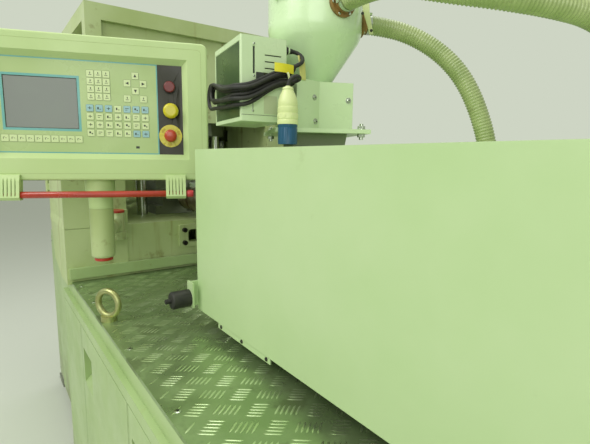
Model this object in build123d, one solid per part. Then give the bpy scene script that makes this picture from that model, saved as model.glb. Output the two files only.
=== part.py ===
from build123d import *
import os
from math import cos, radians, sin, tan

# An injection blow moulding machine, in millimetres. +X points to the injection end, +Y to the
# back, +Z up. The origin is the middle of the four floor anchor holes, at floor level.

# Floor fixing and welded base
ANCHOR_SPACING_X = 3140.0
ANCHOR_SPACING_Y = 700.0
ANCHOR_HOLE_R = 11.0
FOOT_PLATE_LENGTH = 160.0
FOOT_PLATE_WIDTH = 100.0
FOOT_PLATE_HEIGHT = 25.0
FOOT_STEM_R = 16.0
FRAME_BOTTOM_Z = 70.0
FRAME_TUBE = 60.0
FRAME_POST = 40.0
FRAME_RAIL_HEIGHT = 80.0
BASE_END_X = 1520.0
BASE_HALF_WIDTH = 486.0
BASE_SPLIT_X = -330.0
CLAMP_END_X = -1520.0
CLAMP_FRONT_Y = -400.0
CLAMP_BACK_Y = 499.0
DECK_TOP_Z = 980.0
DECK_THICKNESS = 8.0
FRAME_TOP_Z = DECK_TOP_Z - DECK_THICKNESS
CROSS_BEAM_XS = (60.0, 640.0, 1180.0)

# Sheet-metal front of the base
FASCIA_DEPTH = 14.0
FASCIA_TOP_Z = 935.0
FASCIA_BOTTOM_Z = 90.0
DOOR_TOP_Z = 905.0
DOOR_BOTTOM_Z = 115.0
DOOR_GAP = 2.5
DOOR_SHEET = 2.0
FIXED_PANEL_SPAN = (-300.0, -10.0)
DOOR_SPANS = ((5.0, 505.0), (515.0, 1015.0), (1025.0, 1485.0))
PULL_OFFSET = 20.0
PULL_LENGTH = 112.0
PULL_TOP_Z = 842.0
PULL_HEIGHT = 107.0
PULL_DEPTH = 30.0
PANEL_SHEET = 2.0
VENT_SLOT = (60.0, 8.0)

# Deck furniture
HOUSING_FACE_X = -220.0
SILL_DEPTH = 15.0
SILL_Z = (992.0, 1028.0)
SILL_HALF_LENGTH = 491.0
EYE_OUTER = 82.0
EYE_INNER = 50.0
EYE_COLLAR_R = 20.0
EYE_COLLAR_HEIGHT = 14.0
EYE_SHANK_R = 10.0
EYE_XS = (215.0, 1380.0)
EYE_Y = BASE_HALF_WIDTH - 22.0
EYE_TURN = 34.0

# Clamp unit housings and table
HOUSING_OUTER_Y = 499.0
HOUSING_WIDTH = 202.0
HOUSING_LENGTH = 370.0
HOUSING_TOP_Z = 1700.0
HOUSING_SEAM_Z = 1160.0
HOUSING_LEDGE = 28.0
HOUSING_STEP = 6.0
SEAM_GROOVE = 2.5
TABLE_TOP_Z = 1164.0
TABLE_WALL = 30.0
TABLE_TOP_THICKNESS = 40.0
TABLE_FACE_X = -225.0
TABLE_FAR_X = -1480.0
HOUSING_CLEARANCE = 1.0
ANCHOR_PLATE_Z = (1060.0, 1147.0)
ANCHOR_PLATE_HALF = 105.0
ANCHOR_PLATE_THICKNESS = 12.0
SLOT_HALF = 70.0
SLOT_HEIGHT = 49.0
CARRIAGE_ROD_Z = 1102.0
CAP_SCREW_HEAD_R = 9.0
CAP_SCREW_HEAD = 12.0
CAP_SCREW_SHANK_R = 6.0
CAP_SCREW_Y = 86.0
CAP_SCREW_PITCH = 50.0

# Guard round the clamp unit
GUARD_TOP_Z = 1900.0
GUARD_TUBE = 50.0
GUARD_SHEET = 2.0
GUARD_DOOR_X = (-1464.0, HOUSING_FACE_X - HOUSING_LENGTH - 55.0)
GUARD_DOOR_Z = (1172.0, 1842.0)
GUARD_DOOR_DEPTH = 25.0
STATION_LIMIT_R = 470.0
GUARD_DOOR_RIM = 60.0
GUARD_GRIP_Z = (1450.0, 1600.0)
GUARD_HINGE = (-1464.5, -409.0)
GUARD_HINGE_ZS = (1230.0, 1507.0, 1785.0)
HINGE_R = 8.0
HINGE_PIN_R = 5.0
HINGE_HALF = 20.0
HINGE_LUG = 15.0
OUTLET_Y = (-330.0, -60.0)
OUTLET_Z = (1174.0, 1400.0)
WINDOW_THICKNESS = 5.0

# Clamp base door
CLAMP_DOOR_X = (-1240.0, -655.0)
CLAMP_DOOR_Z = (120.0, 925.0)
CLAMP_DOOR_DEPTH = 18.0
BOW_HANDLE_Z = (512.0, 622.0)
BOW_HANDLE_REACH = 32.0
BOW_HANDLE_R = 6.0
BOW_HANDLE_INSET = 14.0
LATCH_CAP_ZS = (275.0, 680.0)
LATCH_CAP_R = 11.0
LATCH_CAP_LENGTH = 24.0

# Turret and stations
TURRET_X = -880.0
TURRET_LIFT = 60.0
COLUMN_R = 45.0
RUNNING_GAP = 0.05
PART_LINE_Z = 1325.0
CORE_Z = PART_LINE_Z + TURRET_LIFT
HEAD_HEIGHT = 70.0
HEAD_APOTHEM = 150.0
HEAD_CORNER_R = 208.0
CORE_BAR_DEPTH = 40.0
CORE_BAR_WIDTH = 200.0
CORE_BAR_HEIGHT = 44.0
CORE_COUNT = 4
CORE_PITCH = 45.0
CORE_R = 11.0
CORE_TIP_RADIUS = 375.0
CAVITY_GAP = 5.0
MOULD_RADII = (215.0, 385.0)
MOULD_HALF_WIDTH = 100.0
MOULD_HEIGHT = 55.0
BOLSTER_HEIGHT = 36.0
CLAMP_STROKE = 120.0
PLATEN_HEIGHT = 60.0
TIE_ROD_R = 22.0
TIE_RADIUS = 443.0
TIE_ANGLE = 22.3
TIE_NUT_R = 34.0
TIE_NUT_HEIGHT = 30.0
BEAM_Z = (1640.0, 1700.0)
CLAMP_CYLINDER_R = 75.0
CLAMP_CYLINDER_BORE_R = 60.0
CLAMP_CYLINDER_TOP_Z = 1880.0
CLAMP_CYLINDER_WALL = 12.0
PISTON_ROD_R = 28.0
PISTON_HEIGHT = 25.0
STATION_RADIUS = 300.0
INJECTION_ANGLE = 0.0
BLOW_ANGLE = 120.0
STRIP_ANGLE = -120.0
STRIPPER_RADIUS = 196.0
STRIPPER_THICKNESS = 12.0
STRIPPER_HALF_WIDTH = 110.0
STRIPPER_NOTCH_R = 14.0
STRIPPER_RAIL_R = 12.0
STRIPPER_RAIL_Z = 1200.0
STRIPPER_RAIL_Y = 80.0
STRIPPER_RAIL_LENGTH = 192.0

# Injection unit
BARREL_Z = 1235.0
NOZZLE_TIP_X = -439.7
MANIFOLD_FACE_X = -440.0
BARREL_FRONT_X = -390.0
BARREL_R = 38.0
BARREL_BORE_R = 20.1
SCREW_R = 20.0
SCREW_ROOT_R = 14.0
SCREW_PITCH = 40.0
NOZZLE_R = 22.0
NOZZLE_TIP_R = 12.0
NOZZLE_BORE_R = 4.0
BAND_R = 47.0
BAND_LENGTH = 80.0
BAND_XS = (-374.0, -274.0, -174.0, -74.0, 26.0, 126.0, 226.0)
THROAT_X = 474.0
FEED_X = (386.0, 562.0)
FEED_HALF_WIDTH = 150.0
FEED_Z = (1130.0, 1330.0)
THROAT_BORE_R = 30.0
THROAT_WIDTH = 140.0
THROAT_TOP_Z = 1466.0
CARRIAGE_PLATE_X = (380.0, 1400.0)
CARRIAGE_PLATE_HALF = 230.0
CARRIAGE_PLATE_Z = (1012.0, 1040.0)
RAIL_X = (382.0, 1505.0)
RAIL_Y = 180.0
RAIL_WIDTH = 34.0
RAIL_TOP_Z = 1000.0
SHOE_LENGTH = 110.0
SLIDE_GAP = 0.3
SHOT_CYLINDER_Y = 105.0
SHOT_CYLINDER_R = 42.0
SHOT_BORE_R = 30.0
SHOT_ROD_R = 18.0
SHOT_CYLINDER_END_X = 800.0
INJECTION_STROKE = 150.0
DRIVE_PLATE_X = (930.0, 975.0)
DRIVE_PLATE_HALF = 155.0
DRIVE_PLATE_Z = (1150.0, 1320.0)
MOTOR_R = 95.0
MOTOR_END_X = 1190.0
CARRIAGE_CYLINDER_R = 35.0
CARRIAGE_CYLINDER_X = (96.0, 386.0)
CARRIAGE_BORE_R = 20.0
CARRIAGE_ROD_R = 14.0
CARRIAGE_ROD_END_X = 356.0
CARRIAGE_PISTON_LENGTH = 20.0

# Cover over the injection unit
COVER_X = (365.0, 1445.0)
COVER_HALF_WIDTH = 280.0
COVER_Z = (1020.0, 1425.0)
COVER_SHEET = 2.0
COVER_MOUTH_HALF = 190.0
COVER_MOUTH_TOP_Z = 1345.0
COVER_THROAT_HOLE = 156.0
SKIRT_X = (478.0, 705.0)
SKIRT_LOW_Z = 1006.0
SKIRT_SHEET = 3.0
BUFFER_X = 361.0
BUFFER_Z = 1052.0
BUFFER_R = 22.0
BUFFER_Y = (-350.0, -302.0)
BUFFER_STUD = 14.0
BRACKET_SHEET = 5.0
BRACKET_Z = (1030.0, 1095.0)
BRACKET_X = (350.0, 384.0)

# Hopper loader, turned on its throat
LOADER_TURN = -25.0
FLANGE_WIDTH = 230.0
FLANGE_THICKNESS = 10.0
FLANGE_BOLT_HALF = 97.0
FLANGE_BOLT_R = 5.5
LOADER_BOX_FRONT = 72.0
LOADER_BOX_LEFT = -66.0
LOADER_BOX_RIGHT = 82.0
LOADER_BOX_HEIGHT = 112.0
LOADER_SHEET = 2.0
WING_START = -6.0
WING_TURN = 35.0
WING_LENGTH = 75.0
WING_REACH = 25.0
WING_TAB_Z = (1480.0, 1544.0)
WING_TAB_Y = (-17.0, 60.0)
CANISTER_R = 117.0
CANISTER_SHEET = 2.5
NECK_R = 43.0
NECK_RIM_R = 46.0
NECK_RIM_HEIGHT = 5.0
NECK_DEPTH = 25.0
CONE_HEIGHT = 110.0
SHOULDER_R = 60.0
DRUM_LOW_Z = 1722.0
CANISTER_TOP_Z = 1880.0
LID_RIM_R = 121.0
LID_RIM_HEIGHT = 20.0
LID_R = 112.0
LID_TOP_Z = 2110.0
LID_ROUND = 38.0
LID_HINGE_R = 130.0
LID_HINGE_PIN_R = 5.0
LID_EAR_R = 8.5
LID_EAR_YS = ((-30.0, -18.0), (18.0, 30.0))
LATCH_HEADING = -80.0
LATCH_WIDTH = 26.0
LATCH_PIN_Z = 1778.0
LATCH_PIN_R = 3.0
VACUUM_PORT_HEADING = -6.8
VACUUM_PORT_Z = 1756.0
SUCTION_PORT_HEADING = 65.0
SUCTION_PORT_Z = 1747.0
PORT_FLANGE_R = 32.0
PORT_FLANGE_THICKNESS = 5.0
PORT_STUB_R = 24.0
PORT_REACH = 16.0

# Loader control box
CONTROL_CORNER = (522.0, -238.0)
CONTROL_HEADING = 81.0
CONTROL_WIDTH = 110.0
CONTROL_DEPTH = 190.0
CONTROL_Z = (1486.0, 1667.0)
LABEL_MARGIN = 8.0
LABEL_RECESS = 1.0
LOUVRE_ZS = (1600.0, 1614.0, 1628.0)
LOUVRE_X = (56.0, 96.0)
LOUVRE_DEPTH = 3.0
GLAND_R = 8.0
GLAND_LENGTH = 12.0
GLAND_Y = 16.0
GLAND_Z = 1648.0

# Power cable, its coil and plug
CABLE_R = 4.5
COIL_GAP = 3.0
COIL_FRONT = 23.0
COIL_RIGHT_Y = 62.0
COIL_SIDE = 12.0
COIL_HEIGHT = 44.0
COIL_MIDDLE_Z = 1567.0
COIL_TILT = -16.0
PLUG_PLACE = (88.0, -52.0)
PLUG_Z = (1436.0, 1554.0)
PLUG_BODY_R = 23.0
PLUG_CAP_R = 20.5
PLUG_NECK_R = 13.0
PLUG_CAP_LENGTH = 42.0
PLUG_SHOULDER = 26.0
LEAD_POINTS = (
    (122.0, 16.0, 1648.0),
    (134.0, 16.0, 1648.0),
    (144.0, 13.0, 1642.0),
    (150.0, 6.0, 1632.0),
    (151.0, -2.0, 1621.0),
    (146.0, -9.0, 1610.0),
    (136.0, -14.0, 1601.0),
    (122.0, -17.0, 1594.0),
    (108.0, -18.0, 1588.0),
)
TAIL_POINTS = ((88.0, -52.0, 1554.0), (88.0, -52.0, 1574.0), (90.0, -39.0, 1589.0), (94.0, -21.0, 1590.0))

# Hoses of the loader, from their ports to where they lie on the deck behind the cover
HOSE_R = 23.5
SUCTION_FIRST_RUN = 62.0
SUCTION_ROUTE = (
    (594.0, 222.0, 1736.0),
    (640.0, 260.0, 1706.0),
    (684.0, 286.0, 1662.0),
    (718.0, 304.0, 1602.0),
    (744.0, 320.0, 1530.0),
    (764.0, 334.0, 1450.0),
    (772.0, 344.0, 1338.0),
    (778.0, 351.0, 1222.0),
    (826.0, 352.0, 1114.0),
    (912.0, 352.0, 1037.0),
    (1020.0, 350.0, 1006.0),
    (1134.0, 346.0, 1004.5),
    (1246.0, 352.0, 1004.5),
    (1345.0, 354.0, 1004.5),
)
VACUUM_FIRST_RUN = 88.0
VACUUM_ROUTE = (
    (778.0, -16.0, 1740.0),
    (853.0, 18.0, 1714.0),
    (919.0, 74.0, 1698.0),
    (968.0, 150.0, 1688.0),
    (1013.0, 236.0, 1673.0),
    (1043.0, 318.0, 1628.0),
    (1058.0, 386.0, 1555.0),
    (1063.0, 428.0, 1458.0),
    (1062.0, 441.0, 1350.0),
    (1056.0, 441.0, 1240.0),
    (1014.0, 441.0, 1136.0),
    (932.0, 441.0, 1062.0),
    (826.0, 440.0, 1018.0),
    (712.0, 443.0, 1004.5),
    (600.0, 436.0, 1004.5),
    (494.0, 440.0, 1004.5),
)
HOSE_END_R = 24.4
LANCE_LENGTH = 120.0
CUFF_LENGTH = 70.0

# Console on its arm
CONSOLE_AXIS = (104.0, -446.0)
CONSOLE_Z = 1524.0
CONSOLE_TURN = -20.4
CONSOLE_WIDTH = 580.0
CONSOLE_HEIGHT = 362.0
CONSOLE_CORNER_R = 18.0
CONSOLE_BACK = -60.0
CONSOLE_FRONT = 22.0
BEZEL_FRONT = 50.0
WINDOW_X = (-223.0, 223.0)
WINDOW_Y = (-112.0, 122.5)
WINDOW_SLOPE = 14.0
PANEL_FRONT = 36.0
STRIP_X = 159.5
SCREEN_X = (-203.0, -36.6)
SCREEN_Y = (-50.0, 76.6)
SCREEN_DEPTH = 2.0
KEY_SIZE = 17.0
KEY_RISE = 0.8
FKEY_START = (-206.7, -76.0)
FKEY_PITCH = 18.7
FKEY_COUNT = 10
NUMBER_START = (-4.5, 90.3)
NUMBER_PITCH = 19.0
FUNCTION_START = (-9.0, 4.4)
FUNCTION_PITCH = (22.5, -21.0)
ARROW_KEYS = ((104.0, 90.5), (84.0, 71.0), (123.6, 71.0), (104.0, 52.0), (83.0, 32.0), (123.4, 32.0))
RED_BUTTON = (190.0, 66.6)
YELLOW_BUTTON = (192.0, 4.2)
ESTOP = (190.0, -62.0)
BUTTON_STEM_R = 10.0
BUTTON_CLEARANCE = 0.3
BUTTON_BORE_DEPTH = 16.0
STEM_BOTTOM = 28.0
RED_R = 14.5
YELLOW_R = 20.0
ESTOP_DISC_R = 30.0
ESTOP_DISC_THICKNESS = 2.0
ESTOP_HEAD_R = 16.0
BAR_R = 8.5
BAR_HALF_LENGTH = 243.0
BAR_Y = -217.0
BAR_FRONT = 62.0
BAR_CLAMP_X = 200.0
BAR_CLAMP_WIDTH = 52.0
SWIVEL_COLLAR_R = 38.0
SWIVEL_R = 31.0
SWIVEL_COLLAR_Z = 1312.0
SWIVEL_SEAM_Z = 1265.0
SLEEVE_BOTTOM_Z = 1127.0
SWIVEL_PIN_R = 12.0
SWIVEL_PIN_LENGTH = 60.0
RING_R = 24.0
RING_HEIGHT = 9.0
ARM_AXIS = (-178.0, -345.0)
ARM_Z = 1182.0
ARM_TUBE_R = 22.0
KNUCKLE_R = 30.0
KNUCKLE_Z = (1150.0, 1215.0)
ARM_PIN_R = 10.0
BRACKET_PLATE = (100.0, 96.0, 12.0)
BRACKET_LUG_HEIGHT = 26.0

SHOES_X = (CARRIAGE_PLATE_X[0] + SHOE_LENGTH / 2, CARRIAGE_PLATE_X[1] - SHOE_LENGTH / 2)


def span_box(x, y, z):
    """A box between a low and a high value on each axis."""
    middle = Pos((x[0] + x[1]) / 2, (y[0] + y[1]) / 2, (z[0] + z[1]) / 2)
    return middle * Box(x[1] - x[0], y[1] - y[0], z[1] - z[0])


def rod(start, end, radius):
    """A round rod between two points."""
    start, end = Vector(*start), Vector(*end)
    along = Plane(origin=start, z_dir=end - start)
    seat = (Align.CENTER, Align.CENTER, Align.MIN)
    return along.location * Cylinder(radius, (end - start).length, align=seat)


def post(x, y, z, radius):
    """An upright round rod between two heights."""
    return rod((x, y, z[0]), (x, y, z[1]), radius)


def prism(points, plane, depth):
    """A straight-sided solid on a plane, from its outline."""
    return extrude(plane * make_face(Polyline(*points, close=True)), depth)


def rounded_plate(width, height, radius, depth):
    """A plate with round corners, standing on its own XY plane."""
    return extrude(RectangleRounded(width, height, radius), depth)


def heading(angle, radius, centre=(0.0, 0.0)):
    """The point at a distance from a centre, in a direction in degrees."""
    return (centre[0] + radius * cos(radians(angle)), centre[1] + radius * sin(radians(angle)))


def save(name, *shapes):
    """Writes one named piece, or a group of separate like solids, to its own file."""
    solids = [solid for shape in shapes for solid in shape.solids()]
    piece = solids[0] if len(solids) == 1 else Compound(children=solids)
    export_step(piece, f"parts/{name}.step")


def fillet_radii(points):
    """The largest smooth radius at each corner of a cord's route."""
    radii = []
    for before, corner, after in zip(points, points[1:], points[2:]):
        run_in = Vector(*corner) - Vector(*before)
        run_out = Vector(*after) - Vector(*corner)
        half_turn = radians(run_in.get_angle(run_out)) / 2
        radii.append(0.45 * min(run_in.length, run_out.length) / tan(half_turn))
    return radii


def cord_tube(name, points, radius):
    """A cord's plain tube: straight runs joined by tangent arcs."""
    radii = fillet_radii(points)
    path = FilletPolyline(*points, radius=radii)
    section = Plane(origin=path @ 0, z_dir=path % 0) * Circle(radius)
    tube = sweep(section, path=path)
    print(name, "length", round(path.length), "radii", [round(value) for value in radii])
    print(name, "volume ratio", round(tube.volume / (path.length * section.area), 4))
    return tube


def frame_members(x, y, bays):
    """The rails of one rectangular welded frame, and its posts between the bays."""
    sides = ((y[0], y[0] + FRAME_TUBE), (y[1] - FRAME_TUBE, y[1]))
    ends = ((x[0], x[0] + FRAME_TUBE), (x[1] - FRAME_TUBE, x[1]))
    inner_y = (sides[0][1], sides[1][0])
    open_z = (FRAME_BOTTOM_Z + FRAME_RAIL_HEIGHT, FRAME_TOP_Z - FRAME_RAIL_HEIGHT)
    members = []
    for rail_z in ((FRAME_BOTTOM_Z, open_z[0]), (open_z[1], FRAME_TOP_Z)):
        members += [span_box(x, side, rail_z) for side in sides]
        members += [span_box(end, inner_y, rail_z) for end in ends]
    edges = [x[0], *[edge for bay in bays for edge in bay], x[1]]
    for low, high in zip(edges[::2], edges[1::2]):
        members += [span_box((low, high), side, open_z) for side in sides]
    return members


def door_bays():
    """The open bays of the injection base, one behind each front panel."""
    half_post = FRAME_POST / 2
    gaps = [(FIXED_PANEL_SPAN[1] + DOOR_SPANS[0][0]) / 2]
    gaps += [(left[1] + right[0]) / 2 for left, right in zip(DOOR_SPANS, DOOR_SPANS[1:])]
    edges = [BASE_SPLIT_X + FRAME_TUBE - half_post] + gaps + [BASE_END_X - FRAME_TUBE + half_post]
    return [(low + half_post, high - half_post) for low, high in zip(edges, edges[1:])]


def make_base():
    members = frame_members((BASE_SPLIT_X, BASE_END_X), (-BASE_HALF_WIDTH, BASE_HALF_WIDTH), door_bays())
    beam_y = (-BASE_HALF_WIDTH + FRAME_TUBE, BASE_HALF_WIDTH - FRAME_TUBE)
    for beam_x in CROSS_BEAM_XS:
        beam_z = (FRAME_TOP_Z - FRAME_TUBE, FRAME_TOP_Z)
        members.append(span_box((beam_x, beam_x + FRAME_TUBE), beam_y, beam_z))
    clamp_bay = (CLAMP_END_X + FRAME_TUBE, BASE_SPLIT_X - FRAME_TUBE)
    members += frame_members((CLAMP_END_X, BASE_SPLIT_X), (CLAMP_FRONT_Y, CLAMP_BACK_Y), [clamp_bay])
    save("base_frame", *members)

    feet = []
    stem_x = ANCHOR_SPACING_X / 2 - 80
    for side_x in (-1, 1):
        for side_y in (-1, 1):
            x, y = side_x * stem_x, side_y * ANCHOR_SPACING_Y / 2
            plate = Pos(side_x * (stem_x + 40), y, FOOT_PLATE_HEIGHT / 2)
            foot = plate * Box(FOOT_PLATE_LENGTH, FOOT_PLATE_WIDTH, FOOT_PLATE_HEIGHT)
            foot += post(x, y, (FOOT_PLATE_HEIGHT, FRAME_BOTTOM_Z), FOOT_STEM_R)
            hole_x = side_x * ANCHOR_SPACING_X / 2
            foot -= post(hole_x, y, (-1.0, FOOT_PLATE_HEIGHT + 1), ANCHOR_HOLE_R)
            feet.append(foot)
    pad_y = BASE_HALF_WIDTH - FRAME_TUBE / 2
    for x in (BASE_SPLIT_X + FRAME_TUBE, (BASE_SPLIT_X + BASE_END_X) / 2):
        for y in (-pad_y, pad_y):
            pad = post(x, y, (0.0, FOOT_PLATE_HEIGHT), FOOT_PLATE_WIDTH / 2)
            feet.append(pad + post(x, y, (FOOT_PLATE_HEIGHT, FRAME_BOTTOM_Z), FOOT_STEM_R))
    save("levelling_feet", *feet)


def door_opening(span, z=(DOOR_BOTTOM_Z, DOOR_TOP_Z)):
    """The hole in the front sheet for one panel, with its gap all round."""
    front_y = (-BASE_HALF_WIDTH - FASCIA_DEPTH - 1, -BASE_HALF_WIDTH + 1)
    wide = (span[0] - DOOR_GAP, span[1] + DOOR_GAP)
    return span_box(wide, front_y, (z[0] - DOOR_GAP, z[1] + DOOR_GAP))


def make_panels():
    front_y = (-BASE_HALF_WIDTH - FASCIA_DEPTH, -BASE_HALF_WIDTH)
    panel_z = (FASCIA_BOTTOM_Z, FASCIA_TOP_Z)
    fascia = span_box((BASE_SPLIT_X, BASE_END_X), front_y, panel_z)
    for span in (FIXED_PANEL_SPAN, *DOOR_SPANS):
        fascia -= door_opening(span)
    fixed = span_box(FIXED_PANEL_SPAN, front_y, (DOOR_BOTTOM_Z, DOOR_TOP_Z))
    back_y = (BASE_HALF_WIDTH, BASE_HALF_WIDTH + PANEL_SHEET)
    back = span_box((BASE_SPLIT_X + 1, BASE_END_X), back_y, panel_z)
    end = span_box((BASE_END_X, BASE_END_X + PANEL_SHEET), (-BASE_HALF_WIDTH, BASE_HALF_WIDTH), panel_z)
    for row in range(8):
        for column in (-1, 0, 1):
            slot = Pos(BASE_END_X, column * 2 * VENT_SLOT[0], 560 + row * 3 * VENT_SLOT[1])
            end -= slot * Box(10, VENT_SLOT[0], VENT_SLOT[1])
    clamp_back_y = (CLAMP_BACK_Y, CLAMP_BACK_Y + PANEL_SHEET)
    clamp_back = span_box((CLAMP_END_X, BASE_SPLIT_X), clamp_back_y, panel_z)
    clamp_end_x = (CLAMP_END_X - PANEL_SHEET, CLAMP_END_X)
    clamp_end = span_box(clamp_end_x, (CLAMP_FRONT_Y, CLAMP_BACK_Y), panel_z)
    front_sheet_y = (CLAMP_FRONT_Y - PANEL_SHEET, CLAMP_FRONT_Y)
    near_x = (CLAMP_DOOR_X[1] + DOOR_GAP, BASE_SPLIT_X)
    far_x = (CLAMP_END_X, CLAMP_DOOR_X[0] - DOOR_GAP)
    clamp_near = span_box(near_x, front_sheet_y, panel_z)
    clamp_far = span_box(far_x, front_sheet_y, panel_z)
    # The injection base stands further forward, so a narrow sheet closes its end there.
    step_y = (-BASE_HALF_WIDTH, CLAMP_FRONT_Y - PANEL_SHEET)
    step = span_box((BASE_SPLIT_X - PANEL_SHEET, BASE_SPLIT_X), step_y, panel_z)
    sill_y = (-SILL_HALF_LENGTH, SILL_HALF_LENGTH)
    sill = span_box((HOUSING_FACE_X, HOUSING_FACE_X + SILL_DEPTH), sill_y, SILL_Z)
    save("base_panels", fascia, fixed, back, end, clamp_back, clamp_end, clamp_near, clamp_far, step, sill)


def make_front_doors():
    for number, span in enumerate(DOOR_SPANS, start=1):
        front = -BASE_HALF_WIDTH - FASCIA_DEPTH
        depth = FASCIA_DEPTH - SLIDE_GAP
        door = span_box(span, (front, front + depth), (DOOR_BOTTOM_Z, DOOR_TOP_Z))
        inner_x = (span[0] + DOOR_SHEET, span[1] - DOOR_SHEET)
        inner_z = (DOOR_BOTTOM_Z + DOOR_SHEET, DOOR_TOP_Z - DOOR_SHEET)
        door -= span_box(inner_x, (front + DOOR_SHEET, front + depth + 1), inner_z)
        # The pull is a pressed pocket with a sloped floor and a finger slot at its back.
        left = span[0] + PULL_OFFSET
        right = left + PULL_LENGTH
        bottom = PULL_TOP_Z - PULL_HEIGHT
        slope = ((front, bottom), (front, PULL_TOP_Z), (front + PULL_DEPTH, PULL_TOP_Z),
                 (front + PULL_DEPTH, bottom + PULL_DEPTH))
        grown = ((front, bottom - 2 * DOOR_SHEET), (front, PULL_TOP_Z + DOOR_SHEET),
                 (front + PULL_DEPTH + DOOR_SHEET, PULL_TOP_Z + DOOR_SHEET),
                 (front + PULL_DEPTH + DOOR_SHEET, bottom + PULL_DEPTH - DOOR_SHEET))
        side = Plane(origin=(left, 0, 0), x_dir=(0, 1, 0), z_dir=(1, 0, 0))
        wall_side = Plane(origin=(left - DOOR_SHEET, 0, 0), x_dir=(0, 1, 0), z_dir=(1, 0, 0))
        door += prism(grown, wall_side, PULL_LENGTH + 2 * DOOR_SHEET)
        door -= prism(slope, side, PULL_LENGTH)
        slot_x = (left + PULL_LENGTH * 0.35, right - PULL_LENGTH * 0.3)
        slot_y = (front + PULL_DEPTH - 1, front + PULL_DEPTH + DOOR_SHEET + 1)
        door -= span_box(slot_x, slot_y, (bottom + PULL_DEPTH + 6, PULL_TOP_Z - 8))
        save(f"front_door_{number}", door)


def make_deck():
    deck_x = (HOUSING_FACE_X, BASE_END_X)
    deck = span_box(deck_x, (-BASE_HALF_WIDTH, BASE_HALF_WIDTH), (FRAME_TOP_Z, DECK_TOP_Z))
    eyes = []
    for x in EYE_XS:
        for y in (-EYE_Y, EYE_Y):
            deck -= post(x, y, (FRAME_TOP_Z - 1, DECK_TOP_Z + 1), EYE_SHANK_R)
            ring_z = DECK_TOP_Z + EYE_OUTER / 2 + EYE_COLLAR_HEIGHT * 0.4
            turned = Pos(x, y, ring_z) * Rot(0, 0, EYE_TURN) * Rot(90, 0, 0)
            wire = (EYE_OUTER - EYE_INNER) / 4
            eye = turned * Torus((EYE_OUTER + EYE_INNER) / 4, wire)
            eye += post(x, y, (DECK_TOP_Z, DECK_TOP_Z + EYE_COLLAR_HEIGHT), EYE_COLLAR_R)
            eye += post(x, y, (FRAME_TOP_Z, DECK_TOP_Z), EYE_SHANK_R)
            eyes.append(eye)
    save("deck_plate", deck)
    save("lifting_eyes", *eyes)


def corner_housing():
    """The front housing beside the table, with its seam, ledge and cut-back lower corner."""
    near = HOUSING_FACE_X
    far = near - HOUSING_LENGTH
    outline = ((near, FRAME_TOP_Z), (near - 130, FRAME_TOP_Z), (near - 280, 1017.0), (near - 328, 1151.0),
               (far, 1171.0), (far, HOUSING_TOP_Z), (near, HOUSING_TOP_Z))
    side = Plane(origin=(0, -HOUSING_OUTER_Y + HOUSING_WIDTH, 0), x_dir=(1, 0, 0), z_dir=(0, -1, 0))
    housing = prism(outline, side, HOUSING_WIDTH)
    # The upper side stands back, and a sloped ledge leads out to the lower side.
    outer = -HOUSING_OUTER_Y
    step = ((outer - 1, HOUSING_SEAM_Z), (outer, HOUSING_SEAM_Z),
            (outer + HOUSING_STEP, HOUSING_SEAM_Z + HOUSING_LEDGE),
            (outer + HOUSING_STEP, HOUSING_TOP_Z + 1), (outer - 1, HOUSING_TOP_Z + 1))
    ledge = Plane(origin=(far - 1, 0, 0), x_dir=(0, 1, 0), z_dir=(1, 0, 0))
    housing -= prism(step, ledge, HOUSING_LENGTH - 10)
    groove_x = (near - SEAM_GROOVE, near + 1)
    seam_y = (-HOUSING_OUTER_Y - 1, -HOUSING_OUTER_Y + HOUSING_WIDTH * 0.72)
    housing -= span_box(groove_x, seam_y, (HOUSING_SEAM_Z, HOUSING_SEAM_Z + SEAM_GROOVE))
    low_y = (-HOUSING_OUTER_Y + HOUSING_WIDTH * 0.72, -HOUSING_OUTER_Y + HOUSING_WIDTH + 1)
    housing -= span_box(groove_x, low_y, (HOUSING_SEAM_Z - 44, HOUSING_SEAM_Z - 44 + SEAM_GROOVE))
    return housing


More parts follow.
